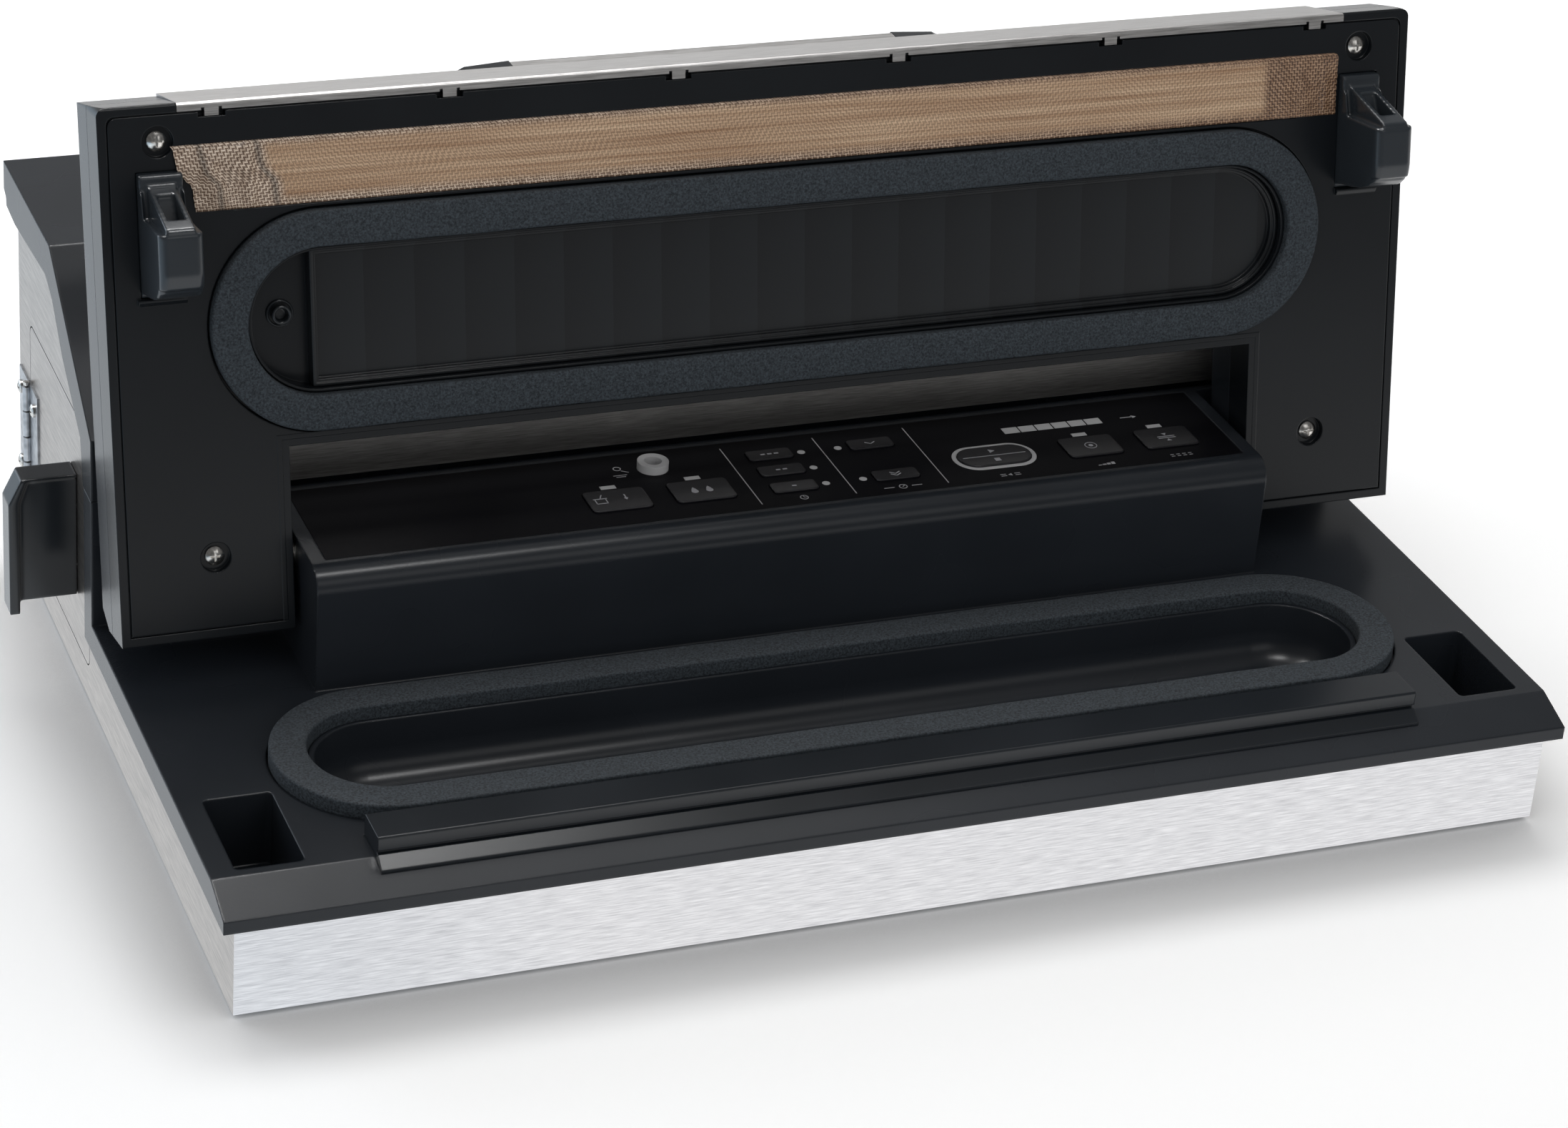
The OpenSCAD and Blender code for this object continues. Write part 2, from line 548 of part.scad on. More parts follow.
module door_screws() place() color([0.75, 0.75, 0.77]) {
  for (z = [44, 75]) translate([-hw - 0.7, door_y2 - 9, z]) rotate([0, -90, 0]) pan_screw(2.6, 1.7, 4);
  // the pull's screws, put in from the inside
  for (z = [46, 70]) translate([-hw + sheet, pull_screw_y, z]) rotate([0, 90, 0]) pan_screw(2.2, 1.5, 8);
}

module leaf_screws() place() color([0.75, 0.75, 0.77]) for (z = [44, 75])
  translate([-hw - 0.7, door_y2 + 12, z]) rotate([0, -90, 0]) pan_screw(2.6, 1.7, 4);

// ---- lid: x across, y up the open lid, z out of its inner face ----
module lid_2d(o, e = 0) difference() {
  union() {
    translate([-lid_h + o, o]) square([lid_w - 2 * o, lid_len - 2 * o - e - lid_r]);
    translate([-lid_h + o + lid_r, o]) square([lid_w - 2 * (o + lid_r), lid_len - 2 * o - e]);
    for (m = [-1, 1]) translate([m * (lid_h - o - lid_r), lid_len - o - e - lid_r]) circle(lid_r);
  }
  translate([-notch_h - o, -1]) square([2 * (notch_h + o), notch_s + 1 + o]);
}

// what the lid's front end loses as it falls back, by f at the outer face
module end_fall(f) xslab(-lid_h - 1, lid_h + 1) polygon([[lid_len - 0.8, 0.1], [lid_len, -0.7], [lid_len, -1.5],
  [lid_len - f, -lid_t], [lid_len - f, -lid_t - 1], [lid_len + 1, -lid_t - 1], [lid_len + 1, 0.1]]);

module lid_shell() on_lid() color([0.13, 0.14, 0.15]) difference() {
  slab(-lid_t, -14.5) lid_2d(0);
  difference() {
    slab(-lid_t + 3, -14) lid_2d(2.6, end_drop);
    bar([-lid_h, 0, -lid_t], [lid_h, 8, -17]);
    both() xcyl(notch_h, notch_h + 13, hinge_s, -hinge_d, pin_r + 2.5);
  }
  end_fall(end_drop);
  // hinge end cut back so that it swings clear
  xslab(-lid_h - 1, lid_h + 1) polygon([[-1, -lid_t - 1], [6.4, -lid_t - 1], [5.8, -lid_t],
    [0, -lid_t + 9], [-1, -lid_t + 9]]);
  cover_seat();
  both() xcyl(notch_h - 1, notch_h + 14, hinge_s, -hinge_d, pin_r);
}

// what the steel cover takes out of the lid: outer face, front end and lip
module cover_seat() xslab(-cover_x, cover_x) polygon([[notch_s + 6, -lid_t + 1], [notch_s + 6, -lid_t - 1],
  [lid_len + 1, -lid_t - 1], [lid_len + 1, 1], [lid_len - lip_h - 0.2, 1], [lid_len - lip_h - 0.2, -0.9],
  [lid_len - 1.3, -0.9], [lid_len - 1.3, -1.5], [lid_len - cover_drop - 1, -lid_t + 1]]);

module hook_pocket(o) both() bar([hook_x - 7.8 - o, HOOK_S - o, -12 - o], [hook_x + 7.8 + o, HOOK_S + 43 + o, 1]);

LID_SCREWS = [[lid_h - 20.1, lid_len - 12.6], [lid_h - 33.9, 28.8]];
TABS = [for (i = [-5:2:5]) i * cover_x / 5.29];
HOOK_S = lid_len - 65.3;

module lid_panel() on_lid() color([0.13, 0.14, 0.15]) difference() {
  union() {
    difference() {
      slab(-14.5, 0) lid_2d(0);
      slab(-15, -3.4) lid_2d(2.6, end_drop);
    }
    // beds of the foam, the tray and the heater, walls of the hook pockets
    translate([0, seal_s, -6.4]) linear_extrude(4) ring(foam_half + 2.6, seal_r + 2.4, foam_w + 5);
    slab(-10.5, -3) translate([0, seal_s]) stadium(foam_half - foam_w + 1, seal_r - foam_w + 1);
    bar([-heat_h - 2.4, tape_s - 14, -7], [heat_h + 2.4, tape_s + 14, -3]);
    hook_wall();
    both() xslab(hook_x - 7.6, hook_x + 9) polygon([[HOOK_S - 2.4, -1], [HOOK_S - 0.2, -1], [HOOK_S - 0.2, 1.7],
      [HOOK_S - 1, 1.7], [HOOK_S - 2.4, 0.9]]);
    both() for (p = LID_SCREWS) translate([p[0], p[1], -14.4]) cylinder(r = 6.6, h = 12);
  }
  end_fall(end_drop);
  cover_seat();
  // groove between the rim and the face
  slab(-1.1, 1) difference() {
    lid_2d(3.1);
    lid_2d(3.6);
  }
  translate([0, seal_s, -4]) linear_extrude(6) ring(foam_half + 0.9, seal_r + 0.9, foam_w + 1.4);
  slab(-8.3, 1) translate([0, seal_s]) stadium(foam_half - foam_w - 1.6, seal_r - foam_w - 1.4);
  bar([-heat_h - 0.2, tape_s - 11.6, -4.6], [heat_h + 0.2, tape_s + 11.6, 1]);
  hook_pocket(0);
  both() for (p = LID_SCREWS) {
    translate([p[0], p[1], -2.6]) cylinder(r = 5.4, h = 6);
    translate([p[0], p[1], -16]) cylinder(r = 1.7, h = 20);
  }
  for (x = TABS) bar([x - 4.7, lid_len - lip_h - 2.3, -3], [x + 4.7, lid_len - lip_h, 1]);
  // bore of the suction valve
  translate([-foam_half + foam_w + 13.4, seal_s + 1.4, -12]) cylinder(r = 2.4, h = 8);
}

module hook_wall() difference() {
  both() bar([hook_x - 11, HOOK_S - 1.8, -14.4], [hook_x + 11, HOOK_S + 46, -2]);
  hook_pocket(0);
}

module lid_cover() on_lid() color([0.77, 0.78, 0.8]) {
  difference() {
    xslab(-cover_x + 0.2, cover_x - 0.2) {
      polygon([[notch_s + 6.2, -lid_t], [lid_len - cover_drop, -lid_t], [lid_len, -1], [lid_len - 1.2, -1],
        [lid_len - 1.2, 0.2], [lid_len - lip_h, 0.2], [lid_len - lip_h, -0.8], [lid_len - 1.2, -0.8],
        [lid_len - 1.2, -1.5], [lid_len - cover_drop - 0.9, -lid_t + 1], [notch_s + 6.2, -lid_t + 1]]);
      // rounded bend of the lip
      translate([lid_len - 1.2, -1]) intersection() {
        circle(1.2);
        translate([-0.05, -0.05]) square(2);
      }
    }
    // relief notches beside each tab
    for (x = TABS, m = [-1, 1]) bar([x + m * 3 - 0.55, lid_len - lip_h - 1, -1], [x + m * 3 + 0.55, lid_len - 2, 1]);
  }
  // tabs, bent into the face
  for (x = TABS) bar([x - 2.4, lid_len - lip_h - 2, -0.8], [x + 2.4, lid_len - lip_h + eps, 0.1]);
  for (x = TABS) bar([x - 2.4, lid_len - lip_h - 2, -2.8], [x + 2.4, lid_len - lip_h - 1.2, 0.1]);
}

module upper_gasket() on_lid() color([0.2, 0.21, 0.22])
  slab(-4, foam_out) translate([0, seal_s]) ring(foam_half, seal_r, foam_w);

module tray_2d(o) difference() {
  stadium(foam_half - foam_w - 1.9 - o, seal_r - foam_w - 1.7 - o);
  translate([-foam_half - 20, -seal_r]) square([foam_w + 43 + o, 2 * seal_r]);
}

module chamber_tray() on_lid() color([0.14, 0.15, 0.16]) translate([0, seal_s, 0]) difference() {
  slab(-8.3, -2.6) tray_2d(0);
  slab(-5.6, 0) tray_2d(tray_lip);
  slab(-3.5, 0) tray_2d(tray_lip / 2);
}

module suction_valve() on_lid() color([0.16, 0.17, 0.18])
  translate([-foam_half + foam_w + 13.4, seal_s + 1.4, 0]) difference() {
    union() {
      slab(-8.3, -5.4) circle(3.9);
      slab(-8.3, -4.6) circle(3.2);
      slab(-11.5, -8.2) circle(2.3);
    }
    slab(-13, 0) circle(1.9 - 0.4);
    slab(-5.6, 0) circle(2.2);
  }

module heater_bar() on_lid() color([0.35, 0.33, 0.3])
  bar([-heat_h, tape_s - 11.4, -4.6], [heat_h, tape_s + 11.4, -0.25]);

module heater_wires() on_lid() color([0.7, 0.68, 0.62]) for (s = [-0.3, 6.8])
  bar([2 - heat_h, tape_s + s - 1.2, -0.25], [heat_h - 2, tape_s + s + 1.2, 0]);

module seal_tape() on_lid() color([0.62, 0.48, 0.38]) slab(0, 0.3) polygon([
  [-cover_x, tape_s + 11.7], [-cover_x + 0.4, tape_s + 8.6], [-cover_x + 4.1, tape_s + 4.4],
  [-cover_x + 4.4, tape_s + 1.2], [-cover_x + 5.2, tape_s - 11], [cover_x - 1.6, tape_s - 11.5],
  [cover_x - 1, tape_s + 11.7]]);

// hook side profile: base, nose and underside
module nose_2d() {
  polygon([[2.2, -10], [42.6, -10], [42.6, 1.7], [41.1, 1.7], [41.1, 3.2], [37.6, 3.2], [28.4, 5.4],
    [28.2, hook_out - 1], [27.2, hook_out - 1], [27.2, hook_out], [16.2, hook_out], [16.2, hook_out - 4],
    [12.5, hook_out - 2.5], [2.7, 4], [2.2, 1]]);
  translate([27.2, hook_out - 1]) circle(1);
  translate([16.2, hook_out - 4]) circle(4);
  translate([41.1, 1.7]) circle(1.5);
}

module hook() on_lid() color([0.13, 0.14, 0.15]) translate([hook_x - 7.5, HOOK_S, 0]) difference() {
  union() {
    xslab(0, 15) nose_2d();
    // the slanted bridge over the window, and a fin beside it
    xslab(2.5, 12.5) polygon([[27, 3], [39.4, 3], [38.2, 4.6], [30, hook_out - 1.4], [29, hook_out - 0.5],
      [27, hook_out - 0.5]]);
    for (x = [0, 14.5]) xslab(x, x + 0.5) polygon([[28, 3], [37.6, 3], [36.4, 5.2], [28, 7.2]]);
    bar([-0.1, 0.2, -12], [15.1, 42.8, -0.25]);
  }
  // window, with a ramp inside
  xslab(4.6, 10.4) polygon([[24, 14], [24, 23.2], [44, 23.2], [44, 8], [35.6, 8]]);
}

module hook_right() hook();
module hook_left() translate([2 * mid_x, 0, 0]) mirror([1, 0, 0]) hook();

module lid_screws() on_lid() color([0.72, 0.72, 0.74]) both() for (p = LID_SCREWS)
  translate([p[0], p[1], -2.6]) pan_screw(3.4, 1.8, 11);

module lid_hinge_pins() on_lid() color([0.6, 0.6, 0.62]) both() {
  xcyl(ctl_h - wall - 8, notch_h + 14, hinge_s, -hinge_d, pin_r);
}

bottom_plate();
steel_wrap();
rear_panel();
rubber_feet();
base_screws();
top_casing();
lower_gasket();
seal_rubber();
control_overlay();
canister_key();
marinate_key();
seal_time_key_1();
seal_time_key_2();
seal_time_key_3();
vacuum_key_1();
vacuum_key_2();
start_key();
manual_key();
seal_key();
start_ring();
indicator_windows();
hose_port();
control_board();
pump_left();
pump_right();
transformer();
catch_left();
catch_right();
rear_cover();
cover_inlay();
handle_ends();
handle_grip();
handle_screws();
roll_tray();
side_door();
door_pull();
door_leaf();
body_leaf();
door_hinge_pin();
door_screws();
leaf_screws();
lid_shell();
lid_panel();
lid_cover();
upper_gasket();
chamber_tray();
suction_valve();
heater_bar();
heater_wires();
seal_tape();
hook_left();
hook_right();
lid_screws();
lid_hinge_pins();
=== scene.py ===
import json
from math import pi, radians

import bmesh
import bpy
from mathutils import Matrix, Vector, noise

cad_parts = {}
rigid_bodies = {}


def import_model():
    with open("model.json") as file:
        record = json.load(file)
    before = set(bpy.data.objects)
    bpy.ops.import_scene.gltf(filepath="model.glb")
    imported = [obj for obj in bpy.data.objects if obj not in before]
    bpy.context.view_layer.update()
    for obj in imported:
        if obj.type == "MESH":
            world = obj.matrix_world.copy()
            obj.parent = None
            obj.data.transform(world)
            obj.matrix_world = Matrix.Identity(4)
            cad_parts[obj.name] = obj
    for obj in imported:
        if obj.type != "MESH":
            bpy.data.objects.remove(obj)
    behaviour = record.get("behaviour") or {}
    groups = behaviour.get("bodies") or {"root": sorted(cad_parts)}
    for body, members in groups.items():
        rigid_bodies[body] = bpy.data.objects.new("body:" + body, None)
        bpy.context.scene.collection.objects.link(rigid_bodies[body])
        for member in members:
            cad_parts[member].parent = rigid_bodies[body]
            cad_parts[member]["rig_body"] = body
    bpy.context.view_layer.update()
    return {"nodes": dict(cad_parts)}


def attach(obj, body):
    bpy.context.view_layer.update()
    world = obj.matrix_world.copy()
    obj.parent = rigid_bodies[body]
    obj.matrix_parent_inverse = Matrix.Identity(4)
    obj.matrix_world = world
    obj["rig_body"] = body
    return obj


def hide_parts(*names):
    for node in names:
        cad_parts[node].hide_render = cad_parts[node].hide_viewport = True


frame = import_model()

# ---------------------------------------------------------------- the camera
# A long lens a metre and a half away, a little to the left of the machine and
# well above it, so that the open lid, the deck and the key panel all show.
eye = bpy.data.objects.new("camera", bpy.data.cameras.new("camera"))
bpy.context.scene.collection.objects.link(eye)
EYE_PLACE = (-0.5212, -1.2501, 0.7916)
HEADING, PITCH, ROLL = -0.4036, 1.0742, 0.0804      # radians
eye.location = EYE_PLACE
eye.rotation_euler = (
    Matrix.Rotation(HEADING, 3, "Z") @ Matrix.Rotation(PITCH, 3, "X") @ Matrix.Rotation(ROLL, 3, "Z")
).to_euler()
eye.data.lens = 96.85
eye.data.sensor_width = 36
eye.data.shift_x = 0.0072
eye.data.shift_y = -0.0040
bpy.context.scene.camera = eye
bpy.context.scene.view_settings.view_transform = "Standard"


# ------------------------------------------------------- the room and its light
# A white tent: white to the eye, a third as bright where it is reflected from behind
# and dim on the side where the camera stands, so that flat plastic stays dark.
def linear(hex_colour):
    """An sRGB hex value as the linear colour that a shader takes."""
    parts = [int(hex_colour[i:i + 2], 16) / 255 for i in (1, 3, 5)]
    return [p / 12.92 if p <= 0.04045 else ((p + 0.055) / 1.055) ** 2.4 for p in parts] + [1]


def add(tree, kind, settings=None, links=None):
    """One shader node with its settings and links."""
    made = tree.nodes.new("ShaderNode" + kind)
    for key, value in (settings or {}).items():
        if isinstance(key, str) and hasattr(made, key):
            setattr(made, key, value)
        else:
            made.inputs[key].default_value = value
    for key, source in (links or {}).items():
        tree.links.new(source, made.inputs[key])
    return made


AMBIENT = 0.5
REFLECTED_BACK = 0.36
REFLECTED_FRONT = 0.12
tent = bpy.data.worlds.new("white_tent")
bpy.context.scene.world = tent
tent.use_nodes = True
tree = tent.node_tree
tree.nodes.clear()
ray = add(tree, "LightPath")
way = add(tree, "TexCoord").outputs["Generated"]
parts = add(tree, "SeparateXYZ", None, {0: way})
back = add(tree, "MapRange", {"From Min": -0.55, "From Max": 0.45, "To Min": REFLECTED_FRONT,
           "To Max": REFLECTED_BACK, "interpolation_type": "SMOOTHSTEP"}, {"Value": parts.outputs["Y"]})
soft = add(tree, "Background", {"Color": (1, 1, 1, 1), "Strength": AMBIENT})
shine = add(tree, "Background", {"Color": (1, 1, 1, 1)}, {"Strength": back.outputs[0]})
seen = add(tree, "Background", {"Color": (1, 1, 1, 1), "Strength": 1.0})
direct = add(tree, "Math", {"operation": "MAXIMUM"},
             {0: ray.outputs["Is Camera Ray"], 1: ray.outputs["Is Transmission Ray"]})
first = add(tree, "MixShader", None,
            {0: ray.outputs["Is Glossy Ray"], 1: soft.outputs[0], 2: shine.outputs[0]})
second = add(tree, "MixShader", None, {0: direct.outputs[0], 1: first.outputs[0], 2: seen.outputs[0]})
add(tree, "OutputWorld", None, {"Surface": second.outputs[0]})


def softbox(name, place, aim, width, height, power, colour="#ffffff", only_shine=False):
    """A square lamp with a cloth front, turned to a point on the machine."""
    lamp = bpy.data.lights.new(name, "AREA")
    lamp.shape = "RECTANGLE"
    lamp.size, lamp.size_y, lamp.energy = width, height, power
    lamp.color = linear(colour)[:3]
    held = bpy.data.objects.new(name, lamp)
    held.location = place
    held.rotation_euler = (Vector(aim) - Vector(place)).to_track_quat("-Z", "Y").to_euler()
    held.visible_diffuse = not only_shine
    bpy.context.scene.collection.objects.link(held)


softbox("overhead_softbox", (0.10, 0.75, 1.35), (0.0, 0.0, 0.05), 1.2, 0.8, 7.0)
# narrow strips that draw the bright lines on rounded edges
softbox("overhead_strip", (-0.32, 0.36, 1.3), (-0.1, 0.05, 0.1), 0.9, 0.09, 18.0, only_shine=True)
softbox("front_strip", (0.06, -0.40, 1.3), (0.0, -0.1, 0.1), 0.34, 0.12, 4.0, only_shine=True)
softbox("left_rim_softbox", (-1.25, 1.15, 0.45), (-0.2, 0.0, 0.12), 0.9, 0.9, 5.0, "#e4f0ff")
softbox("front_fill", (0.5, -1.9, 1.2), (0.0, 0.0, 0.1), 1.2, 0.8, 2.6)

# The table is a sheet of matt white paper. To the eye and in reflections it is
# lifted towards white; what it mirrors into the left sides is cool daylight.
bpy.ops.object.select_all(action="DESELECT")
bpy.ops.mesh.primitive_plane_add(size=9, location=(0, 0, 0))
floor = bpy.context.object
floor.name = "table_top"
paper = bpy.data.materials.new("white_table_paper")
paper.use_nodes = True
tree = paper.node_tree
tree.nodes.clear()
ray = add(tree, "LightPath")
spot = add(tree, "SeparateXYZ", None, {0: add(tree, "TexCoord").outputs["Object"]})
leftward = add(tree, "MapRange", {"From Min": -0.1, "From Max": -0.7, "To Min": 0.0, "To Max": 1.0},
               {"Value": spot.outputs["X"]})
tint = add(tree, "Mix", {"data_type": "RGBA", 6: linear("#ffffff"), 7: linear("#cde4f6")},
           {0: leftward.outputs[0]})
near = add(tree, "MapRange", {"From Min": -1.5, "From Max": -0.7, "To Min": 0.25, "To Max": 1.08},
           {"Value": spot.outputs["Y"]})
matt = add(tree, "BsdfDiffuse", {"Color": linear("#f0f0f0")})
# painted shadow: to the eye the paper is darkened by ambient occlusion where the case stands close over it
painted_contact_shadow = add(tree, "AmbientOcclusion", {"samples": 8, "Distance": 0.045})
lifted = add(tree, "MapRange", {"To Min": 0.32, "To Max": 1.27}, {"Value": painted_contact_shadow.outputs["AO"]})
shadowed_paper_glow = add(tree, "MapRange", {"To Min": 0.0, "To Max": 0.12}, {"Value": painted_contact_shadow.outputs["AO"]})
bright = add(tree, "BsdfDiffuse", None, {"Color": lifted.outputs[0]})
glow = add(tree, "Emission", {"Color": (1, 1, 1, 1)}, {"Strength": shadowed_paper_glow.outputs[0]})
to_eye = add(tree, "AddShader", None, {0: bright.outputs[0], 1: glow.outputs[0]})
mirrored = add(tree, "Emission", None, {"Color": tint.outputs[2], "Strength": near.outputs[0]})
mixed = add(tree, "MixShader", None,
            {0: ray.outputs["Is Camera Ray"], 1: matt.outputs[0], 2: to_eye.outputs[0]})
both = add(tree, "MixShader", None,
           {0: ray.outputs["Is Glossy Ray"], 1: mixed.outputs[0], 2: mirrored.outputs[0]})
add(tree, "OutputMaterial", None, {"Surface": both.outputs[0]})
floor.data.materials.append(paper)


# ------------------------------------------------ the folded steel case and door
# The case and the door are one grade of stainless sheet, 1.2 mm thick, brushed
# along its length, which gives long fine streaks that the light runs across.
def start_finish(name):
    """A new material, with its shader and the coordinates of the piece."""
    finish = bpy.data.materials.new(name)
    finish.use_nodes = True
    made = finish.node_tree
    return finish, made, made.nodes["Principled BSDF"], add(made, "TexCoord").outputs["Object"]


def dress(finish, *names):
    """Puts a finish on CAD nodes."""
    for name in names:
        for held in frame["nodes"][name].material_slots:
            held.material = finish


def ramp(tree, source, low, high, start=0.3, end=0.7):
    """A value from 0 to 1 turned into a colour between two."""
    made = add(tree, "ValToRGB", None, {0: source})
    made.color_ramp.elements[0].position, made.color_ramp.elements[1].position = start, end
    made.color_ramp.elements[0].color, made.color_ramp.elements[1].color = low, high
    return made.outputs[0]


STREAK_LENGTH = 0.011      # the belt's marks are 5 to 20 mm long
STREAK_WIDTH = 0.0005      # really 0.05 mm: drawn ten times as wide to show


def brushed_steel(name, dark, light, flank_shade_dark, flank_shade_light, roughness):
    """Stainless sheet: streaks along X on the front and top, along Y on the sides; the sides take their own
    pair of colours, a painted shade.
    """
    finish, tree, steel, where = start_finish(name)
    facing = add(tree, "SeparateXYZ", None, {0: add(tree, "NewGeometry").outputs["True Normal"]})
    sideways = add(tree, "Math", {"operation": "GREATER_THAN", 1: 0.7},
                   {0: add(tree, "Math", {"operation": "ABSOLUTE"}, {0: facing.outputs["X"]}).outputs[0]})
    streaks = []
    for scale in ((1 / STREAK_LENGTH, 1 / STREAK_WIDTH, 1 / STREAK_WIDTH),
                  (1 / STREAK_WIDTH, 1 / STREAK_LENGTH, 1 / STREAK_WIDTH)):
        turned = add(tree, "Mapping", {"Scale": scale}, {"Vector": where})
        streaks.append(add(tree, "TexNoise", {"Scale": 1.0, "Detail": 3.0, "Roughness": 0.6},
                           {"Vector": turned.outputs[0]}).outputs[0])
    pick = add(tree, "Mix", {"data_type": "FLOAT"}, {0: sideways.outputs[0], 2: streaks[0], 3: streaks[1]})
    front = ramp(tree, pick.outputs[0], linear(dark), linear(light))
    # painted shade: faces that look sideways get their own pair of colours, on the case darker and warmer
    # than the front
    painted_flank_shade = ramp(tree, pick.outputs[0], linear(flank_shade_dark), linear(flank_shade_light))
    both = add(tree, "Mix", {"data_type": "RGBA"}, {0: sideways.outputs[0], 6: front, 7: painted_flank_shade})
    tree.links.new(both.outputs[2], steel.inputs["Base Color"])
    rough = add(tree, "MapRange", {"To Min": roughness - 0.06, "To Max": roughness + 0.08},
                {"Value": pick.outputs[0]})
    tree.links.new(rough.outputs[0], steel.inputs["Roughness"])
    ridges = add(tree, "Bump", {"Strength": 0.12, "Distance": 0.0002}, {"Height": pick.outputs[0]})
    tree.links.new(ridges.outputs[0], steel.inputs["Normal"])
    steel.inputs["Metallic"].default_value = 1.0
    return finish


# the case's sides are painted darker and warmer than its front, as shade
case_steel = brushed_steel("brushed_stainless_sheet", "#c4c4c7", "#f0f0f2", "#8f8a86", "#bdb7b2", 0.32)
dress(case_steel, "steel_wrap", "side_door")
cover_steel = brushed_steel("brushed_stainless_cover", "#a3a19f", "#cbc9c8", "#99938f", "#c2bcba", 0.34)
dress(cover_steel, "lid_cover")
inlay_steel = brushed_steel("brushed_stainless_inlay", "#858381", "#b0aeab", "#99938f", "#c2bcba", 0.44)

# Hidden sheet parts, leaves and pins are plain zinc-plated steel, which looks
# cool grey with a faint crystal mottle.
zinc, tree, sheet, where = start_finish("zinc_plated_steel")
mottle = add(tree, "TexVoronoi", {"Scale": 350.0}, {"Vector": where})
tree.links.new(ramp(tree, mottle.outputs["Distance"], linear("#9a9da1"), linear("#c3c6ca"), 0.1, 0.8),
               sheet.inputs["Base Color"])
sheet.inputs["Metallic"].default_value = 1.0
sheet.inputs["Roughness"].default_value = 0.36
dress(zinc, "bottom_plate", "rear_panel", "door_leaf", "body_leaf", "catch_left", "catch_right",
      "pump_left", "pump_right")

# Screws and pins are nickel-plated: brighter and smoother than the sheet.
nickel, tree, metal, where = start_finish("nickel_plated_steel")
wear = add(tree, "TexNoise", {"Scale": 900.0, "Detail": 2.0}, {"Vector": where})
tree.links.new(ramp(tree, wear.outputs[0], linear("#b9b6b2"), linear("#e9e6e1")), metal.inputs["Base Color"])
metal.inputs["Metallic"].default_value = 1.0
metal.inputs["Roughness"].default_value = 0.22
dress(nickel, "base_screws", "handle_screws", "door_screws", "leaf_screws", "lid_screws",
      "door_hinge_pin", "lid_hinge_pins")


# --------------------------------------------------- the dark mouldings
# The casing, the rear housing and the lid are injection-moulded ABS with a fine
# spark-eroded grain, so they are dark grey with a satin sheen and soft edges.
def moulded(name, dark, light, roughness, grain=0.0006, depth=0.1, edge=0.0006, level=0.5):
    """Moulded plastic with a grain and slightly rounded edges."""
    finish, tree, plastic, where = start_finish(name)
    cloud = add(tree, "TexNoise", {"Scale": 14.0, "Detail": 3.0}, {"Vector": where})
    tree.links.new(ramp(tree, cloud.outputs[0], linear(dark), linear(light)), plastic.inputs["Base Color"])
    grit = add(tree, "TexNoise", {"Scale": 1 / grain, "Detail": 1.0}, {"Vector": where})
    rough = add(tree, "MapRange", {"To Min": roughness - 0.04, "To Max": roughness + 0.04},
                {"Value": cloud.outputs[0]})
    tree.links.new(rough.outputs[0], plastic.inputs["Roughness"])
    rounded = add(tree, "Bevel", {"samples": 6, "Radius": edge})
    skin = add(tree, "Bump", {"Strength": depth, "Distance": 0.0002},
               {"Height": grit.outputs[0], "Normal": rounded.outputs[0]})
    tree.links.new(skin.outputs[0], plastic.inputs["Normal"])
    plastic.inputs["Specular IOR Level"].default_value = level
    return finish


satin_abs = moulded("satin_moulded_abs", "#24282d", "#2a2e34", 0.27, depth=0.05, edge=0.0011, level=0.31)
dress(satin_abs, "top_casing", "rear_cover", "lid_shell", "roll_tray")
dress(moulded("fine_satin_abs", "#15181c", "#191d21", 0.26, depth=0.05, level=0.3), "lid_panel")
gloss_abs = moulded("gloss_moulded_abs", "#1d2125", "#24292e", 0.18, grain=0.002, depth=0.03, edge=0.0012)


# The two hooks and the door pull are polished mouldings with generous rounded
# edges: the CAD solid is skinned again at 0.35 or 0.5 mm and relaxed.
def copied(node, name, finish):
    """A closed mesh in the place of a CAD node, to be shaped further."""
    piece = bpy.data.objects.new(name, frame["nodes"][node].data.copy())
    bpy.context.scene.collection.objects.link(piece)
    bpy.ops.object.select_all(action="DESELECT")
    piece.select_set(True)
    bpy.context.view_layer.objects.active = piece
    bpy.ops.object.mode_set(mode="EDIT")
    bpy.ops.mesh.select_all(action="SELECT")
    bpy.ops.mesh.remove_doubles(threshold=0.00001)
    bpy.ops.object.mode_set(mode="OBJECT")
    piece.data.materials.clear()
    piece.data.materials.append(finish)
    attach(piece, frame["nodes"][node]["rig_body"])
    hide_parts(node)
    return piece


def use(piece, kind, **settings):
    """Adds one modifier and applies it."""
    made = piece.modifiers.new(kind.lower(), kind)
    for key, value in settings.items():
        setattr(made, key, value)
    bpy.ops.object.modifier_apply(modifier=made.name)


def softened(node, name, finish, step, passes):
    """A smooth-edged mesh in the place of a CAD node."""
    piece = copied(node, name, finish)
    use(piece, "REMESH", mode="VOXEL", voxel_size=step)
    use(piece, "SMOOTH", factor=0.5, iterations=passes)
    bpy.ops.object.shade_smooth()
    return piece


softened("door_pull", "door_pull_moulding", gloss_abs, 0.0005, 6)

# The carry handle stands 1.8 mm higher than its CAD solids, so that its grip and
# its ends show over the open lid. Only what is above its feet is raised.
FEET_TOP, RAISED_BY = 0.180, 0.0018
for node, name, finish, slot in (("handle_ends", "handle_end_mouldings", gloss_abs, "gloss_abs"),
                                 ("handle_grip", "handle_grip_tube", cover_steel, "steel")):
    piece = copied(node, name, finish)
    for v in piece.data.vertices:
        if v.co.z > FEET_TOP:
            v.co.z += RAISED_BY

# The steel inlay of the rear housing runs down to just above the key panel, and
# leaves a narrow slot there, so its lower half mirrors the dark panel.
INLAY_HALFWAY, LOWERED_BY = 0.1005, 0.0052
inlay = copied("cover_inlay", "cover_inlay_sheet", inlay_steel)
for v in inlay.data.vertices:
    if v.co.z < INLAY_HALFWAY:
        v.co.z -= LOWERED_BY

